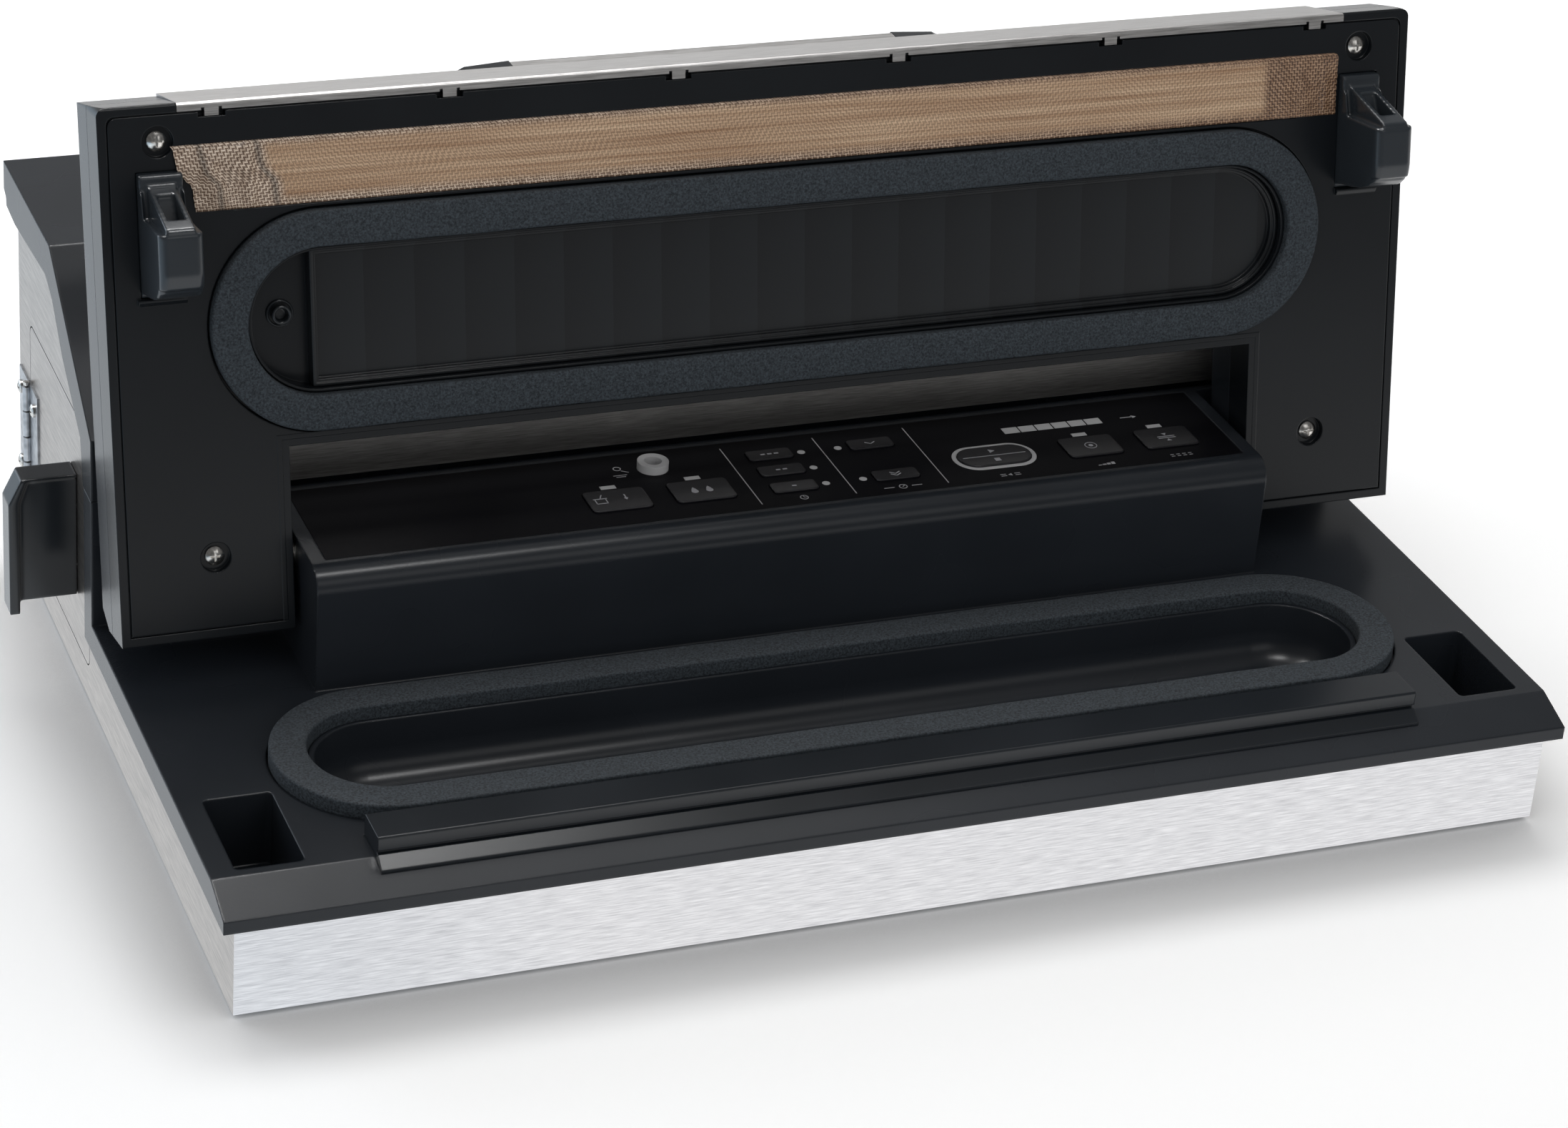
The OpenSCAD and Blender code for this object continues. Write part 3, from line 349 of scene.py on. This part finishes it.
# Each hook has a full, rounded nose: it swells downwards to its foot, and both
# long edges of its front are rounded, where the CAD solid has plain flats.
LID_TILT = radians(78.8)                        # from level, with the lid open
LID_ORIGIN = Vector((0.010, -0.022, 0.063))     # the face's lower edge, on the centre plane
HOOK_MIDDLE, HOOK_HALF, HOOK_FOOT = 0.2244, 0.0075, 0.1218      # from the centre plane, half width, foot
NOSE_TOP = 0.027                                # the swelling ends here, above the foot
EDGE_RADIUS = 0.0028
EDGE_FROM, EDGE_FADE = 0.020, 0.008             # the edges are round from here out, and fully so after
SOLID_UNDERSIDE = ((0.0, 0.0022), (0.004, 0.0027), (0.0275, 0.0125), (0.030, 0.0162))    # (height, place)
ROUND_UNDERSIDE = ((0.0, 0.0022), (0.004, 0.0024), (0.012, 0.0030), (0.018, 0.0040), (0.023, 0.0056),
                   (0.0265, 0.0078), (0.0290, 0.0108), (0.030, 0.0145))


def along(points, share):
    """The value at a share of the way through a list of (share, value) points."""
    for (low, at_low), (high, at_high) in zip(points, points[1:]):
        if share <= high:
            return at_low + (at_high - at_low) * (share - low) / (high - low)
    return points[-1][1]


# painted sheen: the hooks' plastic is made lighter than the pull's polished ABS, in place of the soft
# reflection across their faces
hook_abs_painted_sheen = moulded("polished_abs_with_painted_sheen", "#2c3136", "#343a40", 0.22, grain=0.002, depth=0.03, edge=0.0008)
to_lid = Matrix.Translation(LID_ORIGIN) @ Matrix.Rotation(LID_TILT, 4, "X")
for side, hand in ((-1, "left"), (1, "right")):
    hook = softened("hook_" + hand, hand + "_hook_moulding", hook_abs_painted_sheen, 0.00035, 9)
    for v in hook.data.vertices:
        at = to_lid.inverted() @ v.co
        up, out = at.y - HOOK_FOOT, max(0.0, at.z)
        if up < NOSE_TOP:
            old, new = along(SOLID_UNDERSIDE, out), along(ROUND_UNDERSIDE, out)
            at.y += (new - old) * max(0.0, min(1.0, (NOSE_TOP - up) / (NOSE_TOP - old)))
        over = max(0.0, abs(at.x - side * HOOK_MIDDLE) - HOOK_HALF + EDGE_RADIUS)
        drop = EDGE_RADIUS - (EDGE_RADIUS ** 2 - min(over, EDGE_RADIUS) ** 2) ** 0.5
        at.z -= drop * max(0.0, min(1.0, (out - EDGE_FROM) / EDGE_FADE))
        v.co = to_lid @ at

# The chamber tray is pressed from thin sheet with faint upright ribs 18 mm wide: a bump tilts each band, and
# its colour runs from dark to light across the band as painted shade of the ribs.
BAND_WIDTH = 0.018
tray_abs, tree, plastic, where = start_finish("pressed_gloss_sheet")
bands = add(tree, "SeparateXYZ", None, {0: where})
count = add(tree, "Math", {"operation": "DIVIDE", 1: BAND_WIDTH}, {0: bands.outputs["X"]})
step = add(tree, "Math", {"operation": "FRACT"}, {0: count.outputs[0]})
cloud = add(tree, "TexNoise", {"Scale": 30.0, "Detail": 3.0}, {"Vector": where})
mixed = add(tree, "Mix", {"data_type": "FLOAT", 0: 0.35}, {2: step.outputs[0], 3: cloud.outputs[0]})
# painted shade: the tone follows each band's tilt, with some random cloud
tree.links.new(ramp(tree, mixed.outputs[0], linear("#121519"), linear("#1d2125"), 0.1, 0.9),
               plastic.inputs["Base Color"])
rounded = add(tree, "Bevel", {"samples": 6, "Radius": 0.0008})
wave = add(tree, "Bump", {"Strength": 0.25, "Distance": 0.001},
           {"Height": step.outputs[0], "Normal": rounded.outputs[0]})
tree.links.new(wave.outputs[0], plastic.inputs["Normal"])
plastic.inputs["Roughness"].default_value = 0.3
plastic.inputs["Specular IOR Level"].default_value = 0.4
dress(tray_abs, "chamber_tray")

# --------------------------------------------- the two foam seal rings
# Closed-cell rubber foam, die-cut from sheet as a long ring and glued into a
# groove. The knife leaves open pores and edges that are slightly rounded.
foam, tree, cell, where = start_finish("closed_cell_foam_rubber")
pores = add(tree, "TexNoise", {"Scale": 1300.0, "Detail": 2.0, "Roughness": 0.7}, {"Vector": where})
tree.links.new(ramp(tree, pores.outputs[0], linear("#262b30"), linear("#4b535a"), 0.33, 0.72),
               cell.inputs["Base Color"])
cell.inputs["Roughness"].default_value = 0.8
cell.inputs["Specular IOR Level"].default_value = 0.25
dents = add(tree, "Bump", {"Strength": 0.6, "Distance": 0.0003}, {"Height": pores.outputs[0]})
tree.links.new(dents.outputs[0], cell.inputs["Normal"])


def pick(piece, wanted, kind="VERT"):
    """Selects, in Edit Mode, the points, edges or faces that a test picks."""
    bpy.ops.mesh.select_mode(type=kind)
    bpy.ops.mesh.select_all(action="DESELECT")
    mesh = bmesh.from_edit_mesh(piece.data)
    for item in {"VERT": mesh.verts, "EDGE": mesh.edges, "FACE": mesh.faces}[kind]:
        item.select_set(wanted(item))
    mesh.select_flush_mode()
    bmesh.update_edit_mesh(piece.data)


def settle(piece, name, finish, onto_lid=False):
    """Names a finished piece, gives it its material and fixes its place in its mesh."""
    bpy.ops.object.mode_set(mode="OBJECT")
    piece.name = name
    piece.data.materials.clear()
    piece.data.materials.append(finish)
    if onto_lid:
        piece.rotation_euler = (LID_TILT, 0, 0)
        piece.location = LID_ORIGIN
    bpy.ops.object.transform_apply(location=True, rotation=True, scale=True)


RING_HALF, RING_RADIUS, RING_BAND = 0.2093, 0.0386, 0.0128
ROUND_PARTS = 88
noise.seed_set(1)          # without a fixed seed the rings' waves would differ from run to run


def foam_ring(name, height, middle, low, onto_lid=False):
    """A die-cut ring 418.6 mm long and 77.2 mm wide, with a 12.8 mm band."""
    bpy.ops.object.select_all(action="DESELECT")
    bpy.ops.mesh.primitive_circle_add(vertices=ROUND_PARTS, radius=RING_RADIUS, fill_type="NGON",
                                      rotation=(0, 0, pi / ROUND_PARTS))
    ring = bpy.context.object
    bpy.ops.object.transform_apply(rotation=True)
    bpy.ops.object.mode_set(mode="EDIT")
    for side in (-1, 1):
        pick(ring, lambda v: v.co.x * side > 0)
        bpy.ops.transform.translate(value=(side * (RING_HALF - RING_RADIUS), 0, 0))
    pick(ring, lambda e: e.calc_length() > 0.05, "EDGE")
    bpy.ops.mesh.subdivide(number_cuts=70)
    bpy.ops.mesh.select_mode(type="FACE")
    bpy.ops.mesh.select_all(action="SELECT")
    bpy.ops.mesh.inset(thickness=RING_BAND)
    bpy.ops.mesh.delete(type="FACE")
    bpy.ops.mesh.select_all(action="SELECT")
    bpy.ops.mesh.extrude_region_move(TRANSFORM_OT_translate={"value": (0, 0, height)})
    bpy.ops.mesh.select_all(action="SELECT")
    bpy.ops.mesh.normals_make_consistent(inside=False)
    bpy.ops.transform.translate(value=(middle[0], middle[1], low))
    bpy.ops.object.mode_set(mode="OBJECT")
    use(ring, "BEVEL", width=0.0009, segments=3, limit_method="ANGLE", angle_limit=radians(50))
    for v in ring.data.vertices:
        v.co += 0.00022 * noise.noise_vector(v.co * 45) + 0.00008 * noise.noise_vector(v.co * 400)
    bpy.ops.object.shade_smooth_by_angle(angle=radians(40))
    settle(ring, name, foam, onto_lid)
    return ring


lower_ring = foam_ring("lower_foam_ring", 0.0079, (0.010, -0.0875), 0.0446)
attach(lower_ring, "base")
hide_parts("lower_gasket")
upper_ring = foam_ring("upper_foam_ring", 0.0069, (0, 0.109), -0.0039, onto_lid=True)
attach(upper_ring, "lid")
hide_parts("upper_gasket")

# ------------------------------------------------------ the seal tape
# A strip of non-stick coated glass cloth over the heating wires, cut with shears
# and stuck down by hand, so its ends are ragged and its left end is wrinkled.
# It is smooth and amber where the heat has pressed it on the bar, and coarse at
# both ends, where it lies on the plastic.
TAPE_LOW, TAPE_HIGH, TAPE_LENGTH = 0.1499, 0.1728, 0.4352
WIRES = (0.1609, 0.1680)   # how far up the lid the two heating wires run
LOOSE_FROM = 0.1906        # beyond this on both sides the strip lies free of the bar
# where painted shade darkens the left end's two folds
FOLD_SHADE_LINES = (-0.2085, -0.1890)
THREAD = 0.0011            # about 0.8 mm on such cloth: drawn wider to show
tape, tree, cloth, _ = start_finish("coated_glass_cloth")
flat = add(tree, "TexCoord").outputs["UV"]
place = add(tree, "SeparateXYZ", None, {0: flat})
warp = add(tree, "TexWave", {"wave_type": "BANDS", "bands_direction": "X", "Scale": 0.32 / THREAD,
           "Distortion": 0.6, "Detail Scale": 3.0}, {"Vector": flat})
weft = add(tree, "TexWave", {"wave_type": "BANDS", "bands_direction": "Y", "Scale": 0.32 / THREAD,
           "Distortion": 0.6, "Detail Scale": 3.0}, {"Vector": flat})
over = add(tree, "TexChecker", {"Scale": 1 / THREAD, "Color1": (1, 1, 1, 1), "Color2": (0, 0, 0, 1)},
           {"Vector": flat})
weave = add(tree, "Mix", {"data_type": "FLOAT"},
            {0: over.outputs["Fac"], 2: warp.outputs["Fac"], 3: weft.outputs["Fac"]})


def fade(source, start, end):
    """A value that goes from 0 to 1 between two places."""
    return add(tree, "MapRange", {"From Min": start, "From Max": end}, {"Value": source}).outputs[0]


# 1 on the pressed middle, 0 at both loose ends and near both long edges
middle = add(tree, "Math", {"operation": "MULTIPLY"},
             {0: fade(place.outputs["X"], -0.188, -0.185), 1: fade(place.outputs["X"], 0.1895, 0.1865)})
edges = add(tree, "Math", {"operation": "MULTIPLY"},
            {0: fade(place.outputs["Y"], TAPE_LOW + 0.001, TAPE_LOW + 0.004),
             1: fade(place.outputs["Y"], TAPE_HIGH - 0.0005, TAPE_HIGH - 0.003)})
pressed = add(tree, "Math", {"operation": "MULTIPLY"}, {0: middle.outputs[0], 1: edges.outputs[0]})
run = add(tree, "Mapping", {"Scale": (9, 420, 1)}, {"Vector": flat})
lines = add(tree, "TexNoise", {"Scale": 1.0, "Detail": 4.0, "Roughness": 0.65}, {"Vector": run.outputs[0]})
amber = ramp(tree, lines.outputs[0], linear("#b98e68"), linear("#f3d3b0"), 0.3, 0.7)
brown = ramp(tree, weave.outputs[0], linear("#a88c75"), linear("#ffebd6"), 0.15, 0.85)
# painted shade of the crumpled cloth: a noise darkens the colour in patches off the pressed middle, as the
# shade of its creases
crumple_shade_noise = add(tree, "TexNoise", {"Scale": 210.0, "Detail": 2.0, "Distortion": 1.8}, {"Vector": flat})
crumple_shaded = add(tree, "Mix", {"data_type": "RGBA", "blend_type": "MULTIPLY", 0: 1.0},
             {6: brown, 7: ramp(tree, crumple_shade_noise.outputs[0], linear("#d2cac3"), linear("#ffffff"), 0.38, 0.60)})
# painted shade along two folds of the left end: within 2 mm of each fold line the colour darkens to half
crease_shaded_colour = crumple_shaded.outputs[2]
for fold_at in FOLD_SHADE_LINES:
    off = add(tree, "Math", {"operation": "SUBTRACT", 1: fold_at}, {0: place.outputs["X"]})
    away = add(tree, "Math", {"operation": "ABSOLUTE"}, {0: off.outputs[0]})
    dark = add(tree, "MapRange", {"From Max": 0.0020, "To Min": 0.50, "To Max": 1.0,
               "interpolation_type": "SMOOTHSTEP"}, {"Value": away.outputs[0]})
    crease_shaded_colour = add(tree, "Mix", {"data_type": "RGBA", "blend_type": "MULTIPLY", 0: 1.0},
               {6: crease_shaded_colour, 7: dark.outputs[0]}).outputs[2]
# the right end is scorched a little browner than the left
rightward = fade(place.outputs["X"], -0.19, 0.19)
scorched = add(tree, "Mix", {"data_type": "RGBA", "blend_type": "MULTIPLY", 7: linear("#c9b39f")},
               {0: rightward, 6: crease_shaded_colour})
fine = ramp(tree, weave.outputs[0], linear("#c6beb7"), linear("#ffffff"), 0.1, 0.9)
tone = add(tree, "Mix", {"data_type": "RGBA"}, {0: pressed.outputs[0], 6: scorched.outputs[2], 7: amber})
colour = add(tree, "Mix", {"data_type": "RGBA", "blend_type": "MULTIPLY", 0: 1.0},
             {6: tone.outputs[2], 7: fine})
tree.links.new(colour.outputs[2], cloth.inputs["Base Color"])
bumps = add(tree, "Bump", {"Strength": 0.7, "Distance": 0.00025}, {"Height": weave.outputs[0]})
tree.links.new(bumps.outputs[0], cloth.inputs["Normal"])
cloth.inputs["Roughness"].default_value = 0.42
cloth.inputs["Specular IOR Level"].default_value = 0.7

bpy.ops.object.select_all(action="DESELECT")
bpy.ops.mesh.primitive_grid_add(x_subdivisions=620, y_subdivisions=32, size=1)
strip = bpy.context.object
strip.scale = (TAPE_LENGTH, TAPE_HIGH - TAPE_LOW, 1)
strip.location = (0, (TAPE_LOW + TAPE_HIGH) / 2, 0.00006)
bpy.ops.object.transform_apply(location=True, rotation=True, scale=True)
for loop in strip.data.loops:
    at = strip.data.vertices[loop.vertex_index].co
    strip.data.uv_layers[0].data[loop.index].uv = (at.x, at.y)
LEFT_END = ((0.0, -0.2124), (0.17, -0.2131), (0.30, -0.2132), (0.40, -0.2138), (0.50, -0.2160),
            (0.60, -0.2181), (0.83, -0.2191), (0.95, -0.2195), (1.0, -0.2202))    # (share of the width, x)
RIGHT_END = ((0.0, 0.2155), (0.4, 0.2153), (0.6, 0.2157), (0.92, 0.2159), (0.97, 0.2154), (1.0, 0.2141))


def crease(x, y, ax, ay, bx, by, wide):
    """1 on the line from a to b, falling to 0 at its width."""
    run, span = Vector((bx - ax, by - ay)), Vector((x - ax, y - ay))
    share = max(0.0, min(1.0, span.dot(run) / run.length_squared))
    return max(0.0, 1 - (span - share * run).length / wide)


for v in strip.data.vertices:
    up = min(1.0, max(0.0, (v.co.y - TAPE_LOW) / (TAPE_HIGH - TAPE_LOW)))
    fray = 0.0003 * noise.noise(Vector((3, v.co.y * 900, 0)))
    share = (v.co.x + TAPE_LENGTH / 2) / TAPE_LENGTH
    left = along(LEFT_END, up) + fray
    right = along(RIGHT_END, up) + fray
    v.co.x = left + share * (right - left)
    x, y = v.co.x, v.co.y
    v.co.y += 0.00012 * noise.noise(Vector((x * 300, 5, 0))) * (1 if up > 0.5 else -1)
    # three pinched folds of the loose left end, and a soft pillow between them
    fold = (1.0 * crease(x, y, -0.2085, 0.1665, -0.2055, 0.1560, 0.0042)
            + 0.8 * crease(x, y, -0.1945, 0.1700, -0.1930, 0.1530, 0.0030)
            + 0.6 * crease(x, y, -0.2085, 0.1650, -0.1960, 0.1715, 0.0026))
    loose = max(0.0, min(1.0, (-LOOSE_FROM - x) / 0.003))
    hold = min(1.0, up * 12, (1 - up) * 12)
    pillow = 0.5 + 0.5 * noise.noise(Vector((x * 140, y * 110, 2)))
    v.co.z += loose * hold * (0.0016 * pillow + 0.0015 * min(1.0, fold))
    # the right end stands a little off the lid, with a raised crease
    loose = max(0.0, min(1.0, (x - LOOSE_FROM) / 0.003))
    v.co.z += loose * hold * (0.0002 + 0.0007 * crease(x, y, 0.2110, 0.1680, 0.2106, 0.1525, 0.0022)
                              + 0.0004 * noise.noise(Vector((x * 160, y * 120, 7))))
    # low ridges over the two wires
    for wire in WIRES:
        if abs(x) < 0.192:
            v.co.z += 0.00005 * max(0.0, 1 - abs(y - wire) / 0.0012)
use(strip, "SOLIDIFY", thickness=0.00012, offset=1)
bpy.ops.object.shade_smooth()
settle(strip, "glass_cloth_strip", tape, onto_lid=True)
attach(strip, "lid")
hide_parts("seal_tape")

# --------------------------------------------------- the suction valve
# A small turned bush with two beads round its bore, pressed into the floor of the
# chamber beside the tray. The pump draws the air through it.
VALVE_X, VALVE_Y = -0.1831, 0.1104
bpy.ops.object.select_all(action="DESELECT")
made = []
for big, small, depth in ((0.0044, 0.00045, -0.0078), (0.0029, 0.00055, -0.0051)):
    bpy.ops.mesh.primitive_torus_add(major_radius=big, minor_radius=small, major_segments=40,
                                     minor_segments=12, location=(VALVE_X, VALVE_Y, depth))
    made.append(bpy.context.object)
bpy.ops.mesh.primitive_cylinder_add(vertices=40, radius=0.0033, depth=0.0030,
                                    location=(VALVE_X, VALVE_Y, -0.0068))
made.append(bpy.context.object)
bpy.ops.object.mode_set(mode="EDIT")
pick(bpy.context.object, lambda f: f.normal.z > 0.9, "FACE")
bpy.ops.mesh.inset(thickness=0.0011)
bpy.ops.mesh.extrude_region_move(TRANSFORM_OT_translate={"value": (0, 0, -0.0026)})
bpy.ops.object.mode_set(mode="OBJECT")
for piece in made:
    piece.select_set(True)
bpy.ops.object.join()
valve = bpy.context.object
bpy.ops.object.transform_apply(location=True, rotation=True, scale=True)
bpy.ops.object.shade_smooth_by_angle(angle=radians(40))
settle(valve, "valve_bush", gloss_abs, onto_lid=True)
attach(valve, "lid")
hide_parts("suction_valve")

# ------------------------------------------------- the flush edge of the notch
# Round the notch for the key housing the panel lies against the shell with no
# groove: a web of the same ABS, moulded on the panel's edge, closes it.
WEB = 0.0019               # as wide as the groove that it closes


def lowest(edge):
    """The height of an edge's lower end, up the lid."""
    return min(v.co.y for v in edge.verts)


def leftmost(edge):
    """The place of an edge's left end, across the lid."""
    return min(v.co.x for v in edge.verts)


bpy.ops.object.select_all(action="DESELECT")
bpy.ops.mesh.primitive_plane_add(size=WEB, location=(-0.18685, 0.00415, 0))
web = bpy.context.object
bpy.ops.object.transform_apply(location=True)
bpy.ops.object.mode_set(mode="EDIT")
# up the left side, round the corner, along the top, round the corner, and down
for edge_of, way in ((lambda e: lowest(e) > 0.005, (0, 0.0628, 0)),
                     (lambda e: lowest(e) > 0.067, (0, WEB, 0)),
                     (lambda e: lowest(e) > 0.067 and leftmost(e) > -0.186, (0.3718, 0, 0)),
                     (lambda e: leftmost(e) > 0.18, (WEB, 0, 0)),
                     (lambda e: leftmost(e) > 0.18 and max(v.co.y for v in e.verts) < 0.0685,
                      (0, -0.0647, 0))):
    pick(web, lambda e: edge_of(e) and e.is_boundary, "EDGE")
    bpy.ops.mesh.extrude_region_move(TRANSFORM_OT_translate={"value": way})
bpy.ops.mesh.select_all(action="SELECT")
bpy.ops.mesh.normals_make_consistent(inside=False)
bpy.ops.object.mode_set(mode="OBJECT")
for v in web.data.vertices:
    v.co.z = 0.00003
use(web, "SOLIDIFY", thickness=0.00103, offset=-1)
settle(web, "notch_web", bpy.data.materials["fine_satin_abs"], onto_lid=True)
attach(web, "lid")

# ----------------------------------------------------------- the seal rubber
# Extruded silicone with a smooth skin, pressed into the deck's front channel.
dress(moulded("smooth_silicone_rubber", "#1a1f24", "#22272d", 0.24, depth=0.02), "seal_rubber")
dress(moulded("matt_foot_rubber", "#1b1b1c", "#232324", 0.6), "rubber_feet")

# ----------------------------------------------------------- the key panel
# One printed polycarbonate film with embossed keys, over soft key caps, and
# small mouldings of pale grey ABS for the lights, the ring and the hose port.
film = moulded("printed_polycarbonate_film", "#0c0c10", "#111116", 0.34, depth=0.02, edge=0.0003, level=0.06)
dress(film, "control_overlay")
dress(moulded("embossed_key_film", "#15151a", "#1a1a20", 0.26, depth=0.02, edge=0.0009, level=0.6),
      "canister_key", "marinate_key", "seal_time_key_1", "seal_time_key_2", "seal_time_key_3",
      "vacuum_key_1", "vacuum_key_2", "start_key", "manual_key", "seal_key")
pale_abs = moulded("pale_grey_abs", "#c2c2c3", "#d2d2d3", 0.4, edge=0.0004)
dress(pale_abs, "hose_port", "start_ring", "indicator_windows")

# Pale grey ink, screen-printed in a layer a twentieth of a millimetre thick:
# the dividing lines, and one small generic sign for each key. The words and the
# names that such panels carry are left off.
ink = moulded("pale_screen_ink", "#a9a9ad", "#bcbcc0", 0.5, depth=0.02, edge=0.0001)
INK_THICKNESS = 0.00005
PANEL_TOP, KEY_TOP = 0.0930, 0.0936


def on_panel(x, y):
    """A place in millimetres from the casing's centre plane and its front, as the frame has it."""
    return (x + 10) / 1000, (y - 157.5) / 1000, 0


def stroke(x, y, wide, high, turn=0.0):
    """One printed bar, its width and height in millimetres."""
    bpy.ops.mesh.primitive_plane_add(size=0.001, location=on_panel(x, y), rotation=(0, 0, radians(turn)))
    bpy.context.object.scale = (wide, high, 1)
    return bpy.context.object


def spot_of_ink(x, y, radius, corners=24, turn=0.0):
    """One printed dot, or a triangle or diamond with fewer corners."""
    bpy.ops.mesh.primitive_circle_add(vertices=corners, radius=radius / 1000, fill_type="NGON",
                                      location=on_panel(x, y), rotation=(0, 0, radians(turn)))
    return bpy.context.object


def hoop(x, y, radius, wide=0.35):
    """One printed ring."""
    made = spot_of_ink(x, y, radius)
    bpy.ops.object.mode_set(mode="EDIT")
    bpy.ops.mesh.select_all(action="SELECT")
    bpy.ops.mesh.inset(thickness=wide / 1000)
    bpy.ops.mesh.delete(type="FACE")
    bpy.ops.object.mode_set(mode="OBJECT")
    return made


def print_on(name, body, level, shapes):
    """Joins the printed shapes of one surface and gives the ink its thickness."""
    bpy.ops.object.select_all(action="DESELECT")
    for shape in shapes:
        shape.select_set(True)
    bpy.context.view_layer.objects.active = shapes[0]
    bpy.ops.object.transform_apply(location=True, rotation=True, scale=True)
    if len(shapes) > 1:
        bpy.ops.object.join()
    sign = bpy.context.object
    for v in sign.data.vertices:
        v.co.z = level
    use(sign, "SOLIDIFY", thickness=INK_THICKNESS, offset=1)
    settle(sign, name, ink)
    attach(sign, body)


print_on("panel_lines", "base", PANEL_TOP, [
    stroke(-14.3, 153, 0.4, 44), stroke(22, 153.3, 0.4, 44.5), stroke(58, 153.3, 0.4, 44.5),
    # hose sign, left of the port: a bend of hose over a lid
    hoop(-56.2, 168.6, 1.5), stroke(-54.0, 166.0, 3.0, 0.4, -35), stroke(-56.6, 163.6, 5.2, 0.4),
    stroke(-56.6, 162.4, 3.6, 0.4),
    # under the keys: squeeze, rising force, seam
    stroke(80.1, 132.4, 2.2, 0.4), stroke(80.1, 131.2, 2.2, 0.4), stroke(85.7, 132.4, 2.2, 0.4),
    stroke(85.7, 131.2, 2.2, 0.4), spot_of_ink(82.9, 131.8, 1.0, 3, 90),
    stroke(118.6, 131.0, 1.4, 0.5), stroke(120.4, 131.2, 1.4, 0.9), stroke(122.2, 131.4, 1.4, 1.3),
    stroke(124.0, 131.6, 1.4, 1.7)]
    + [stroke(148.6 + 2.4 * i, 132.6 - 1.3 * j, 1.4, 0.4) for i in range(4) for j in range(2)]
    # beside the row of lights: an arrow; under the groups: a clock and a gauge
    + [stroke(144.5, 164.6, 4.6, 0.5), spot_of_ink(147.6, 164.6, 1.3, 3, -90),
       hoop(2.4, 132.6, 1.6), stroke(2.4, 133.1, 0.35, 1.2), stroke(2.9, 132.6, 1.2, 0.35),
       hoop(40.6, 132.2, 1.6), stroke(41.1, 132.7, 0.35, 1.9, -45), stroke(46.0, 132.2, 4.0, 0.4),
       stroke(35.2, 132.2, 4.0, 0.4)])
print_on("canister_sign", "canister_key", KEY_TOP, [
    stroke(-70.0, 143.6, 4.4, 0.4), stroke(-72.0, 145.2, 0.4, 3.4), stroke(-68.0, 145.2, 0.4, 3.4),
    stroke(-70.0, 147.0, 5.2, 0.5), stroke(-69.2, 148.6, 0.4, 2.6, -25),
    spot_of_ink(-60.5, 145.6, 1.0, 3, 180), stroke(-60.5, 147.4, 0.5, 2.6)])
print_on("marinate_sign", "marinate_key", KEY_TOP, [
    spot_of_ink(-34.8, 144.9, 1.3), spot_of_ink(-34.8, 146.7, 1.2, 3), spot_of_ink(-29.2, 144.9, 1.3),
    spot_of_ink(-29.2, 146.7, 1.2, 3)])
for number, y in ((1, 166.2), (2, 153.8), (3, 140.9)):
    print_on("seal_time_sign_%d" % number, "seal_time_key_%d" % number, KEY_TOP,
             [stroke(1.7 + 2.6 * (i - (3 - number) / 2), y, 1.7, 0.8) for i in range(4 - number)])
print_on("gentle_sign", "vacuum_key_1", KEY_TOP, [
    stroke(40.4, 166.0, 2.6, 0.45, -35), stroke(42.2, 166.0, 2.6, 0.45, 35)])
print_on("normal_sign", "vacuum_key_2", KEY_TOP, [
    stroke(40.4, 141.8, 2.6, 0.45, -35), stroke(42.2, 141.8, 2.6, 0.45, 35),
    stroke(40.4, 140.4, 2.6, 0.45, -35), stroke(42.2, 140.4, 2.6, 0.45, 35)])
print_on("start_sign", "start_key", KEY_TOP, [
    stroke(82.6, 146.3, 25.0, 0.4), spot_of_ink(82.6, 149.7, 1.5, 3, -90), stroke(82.6, 143.0, 2.2, 2.2)])
print_on("manual_sign", "manual_key", KEY_TOP, [
    hoop(121.3, 145.5, 2.4), spot_of_ink(121.3, 145.5, 0.9)])
print_on("seal_sign", "seal_key", KEY_TOP, [
    stroke(152.3, 145.9, 7.0, 0.5), stroke(152.3, 144.7, 7.0, 0.5), spot_of_ink(152.3, 147.7, 1.1, 3, 180),
    spot_of_ink(152.3, 142.9, 1.1, 3, 0)])

# ----------------------------------------------------------- working parts
# Inside the casing: the board, the transformer's core and the heater's bar.
dress(moulded("lacquered_circuit_board", "#0f4a2c", "#16613a", 0.3), "control_board")
dress(moulded("varnished_iron_core", "#55565a", "#6d6e72", 0.5), "transformer")
dress(moulded("heat_proof_phenolic", "#2c2926", "#3a3733", 0.5), "heater_bar")
dress(zinc, "heater_wires")
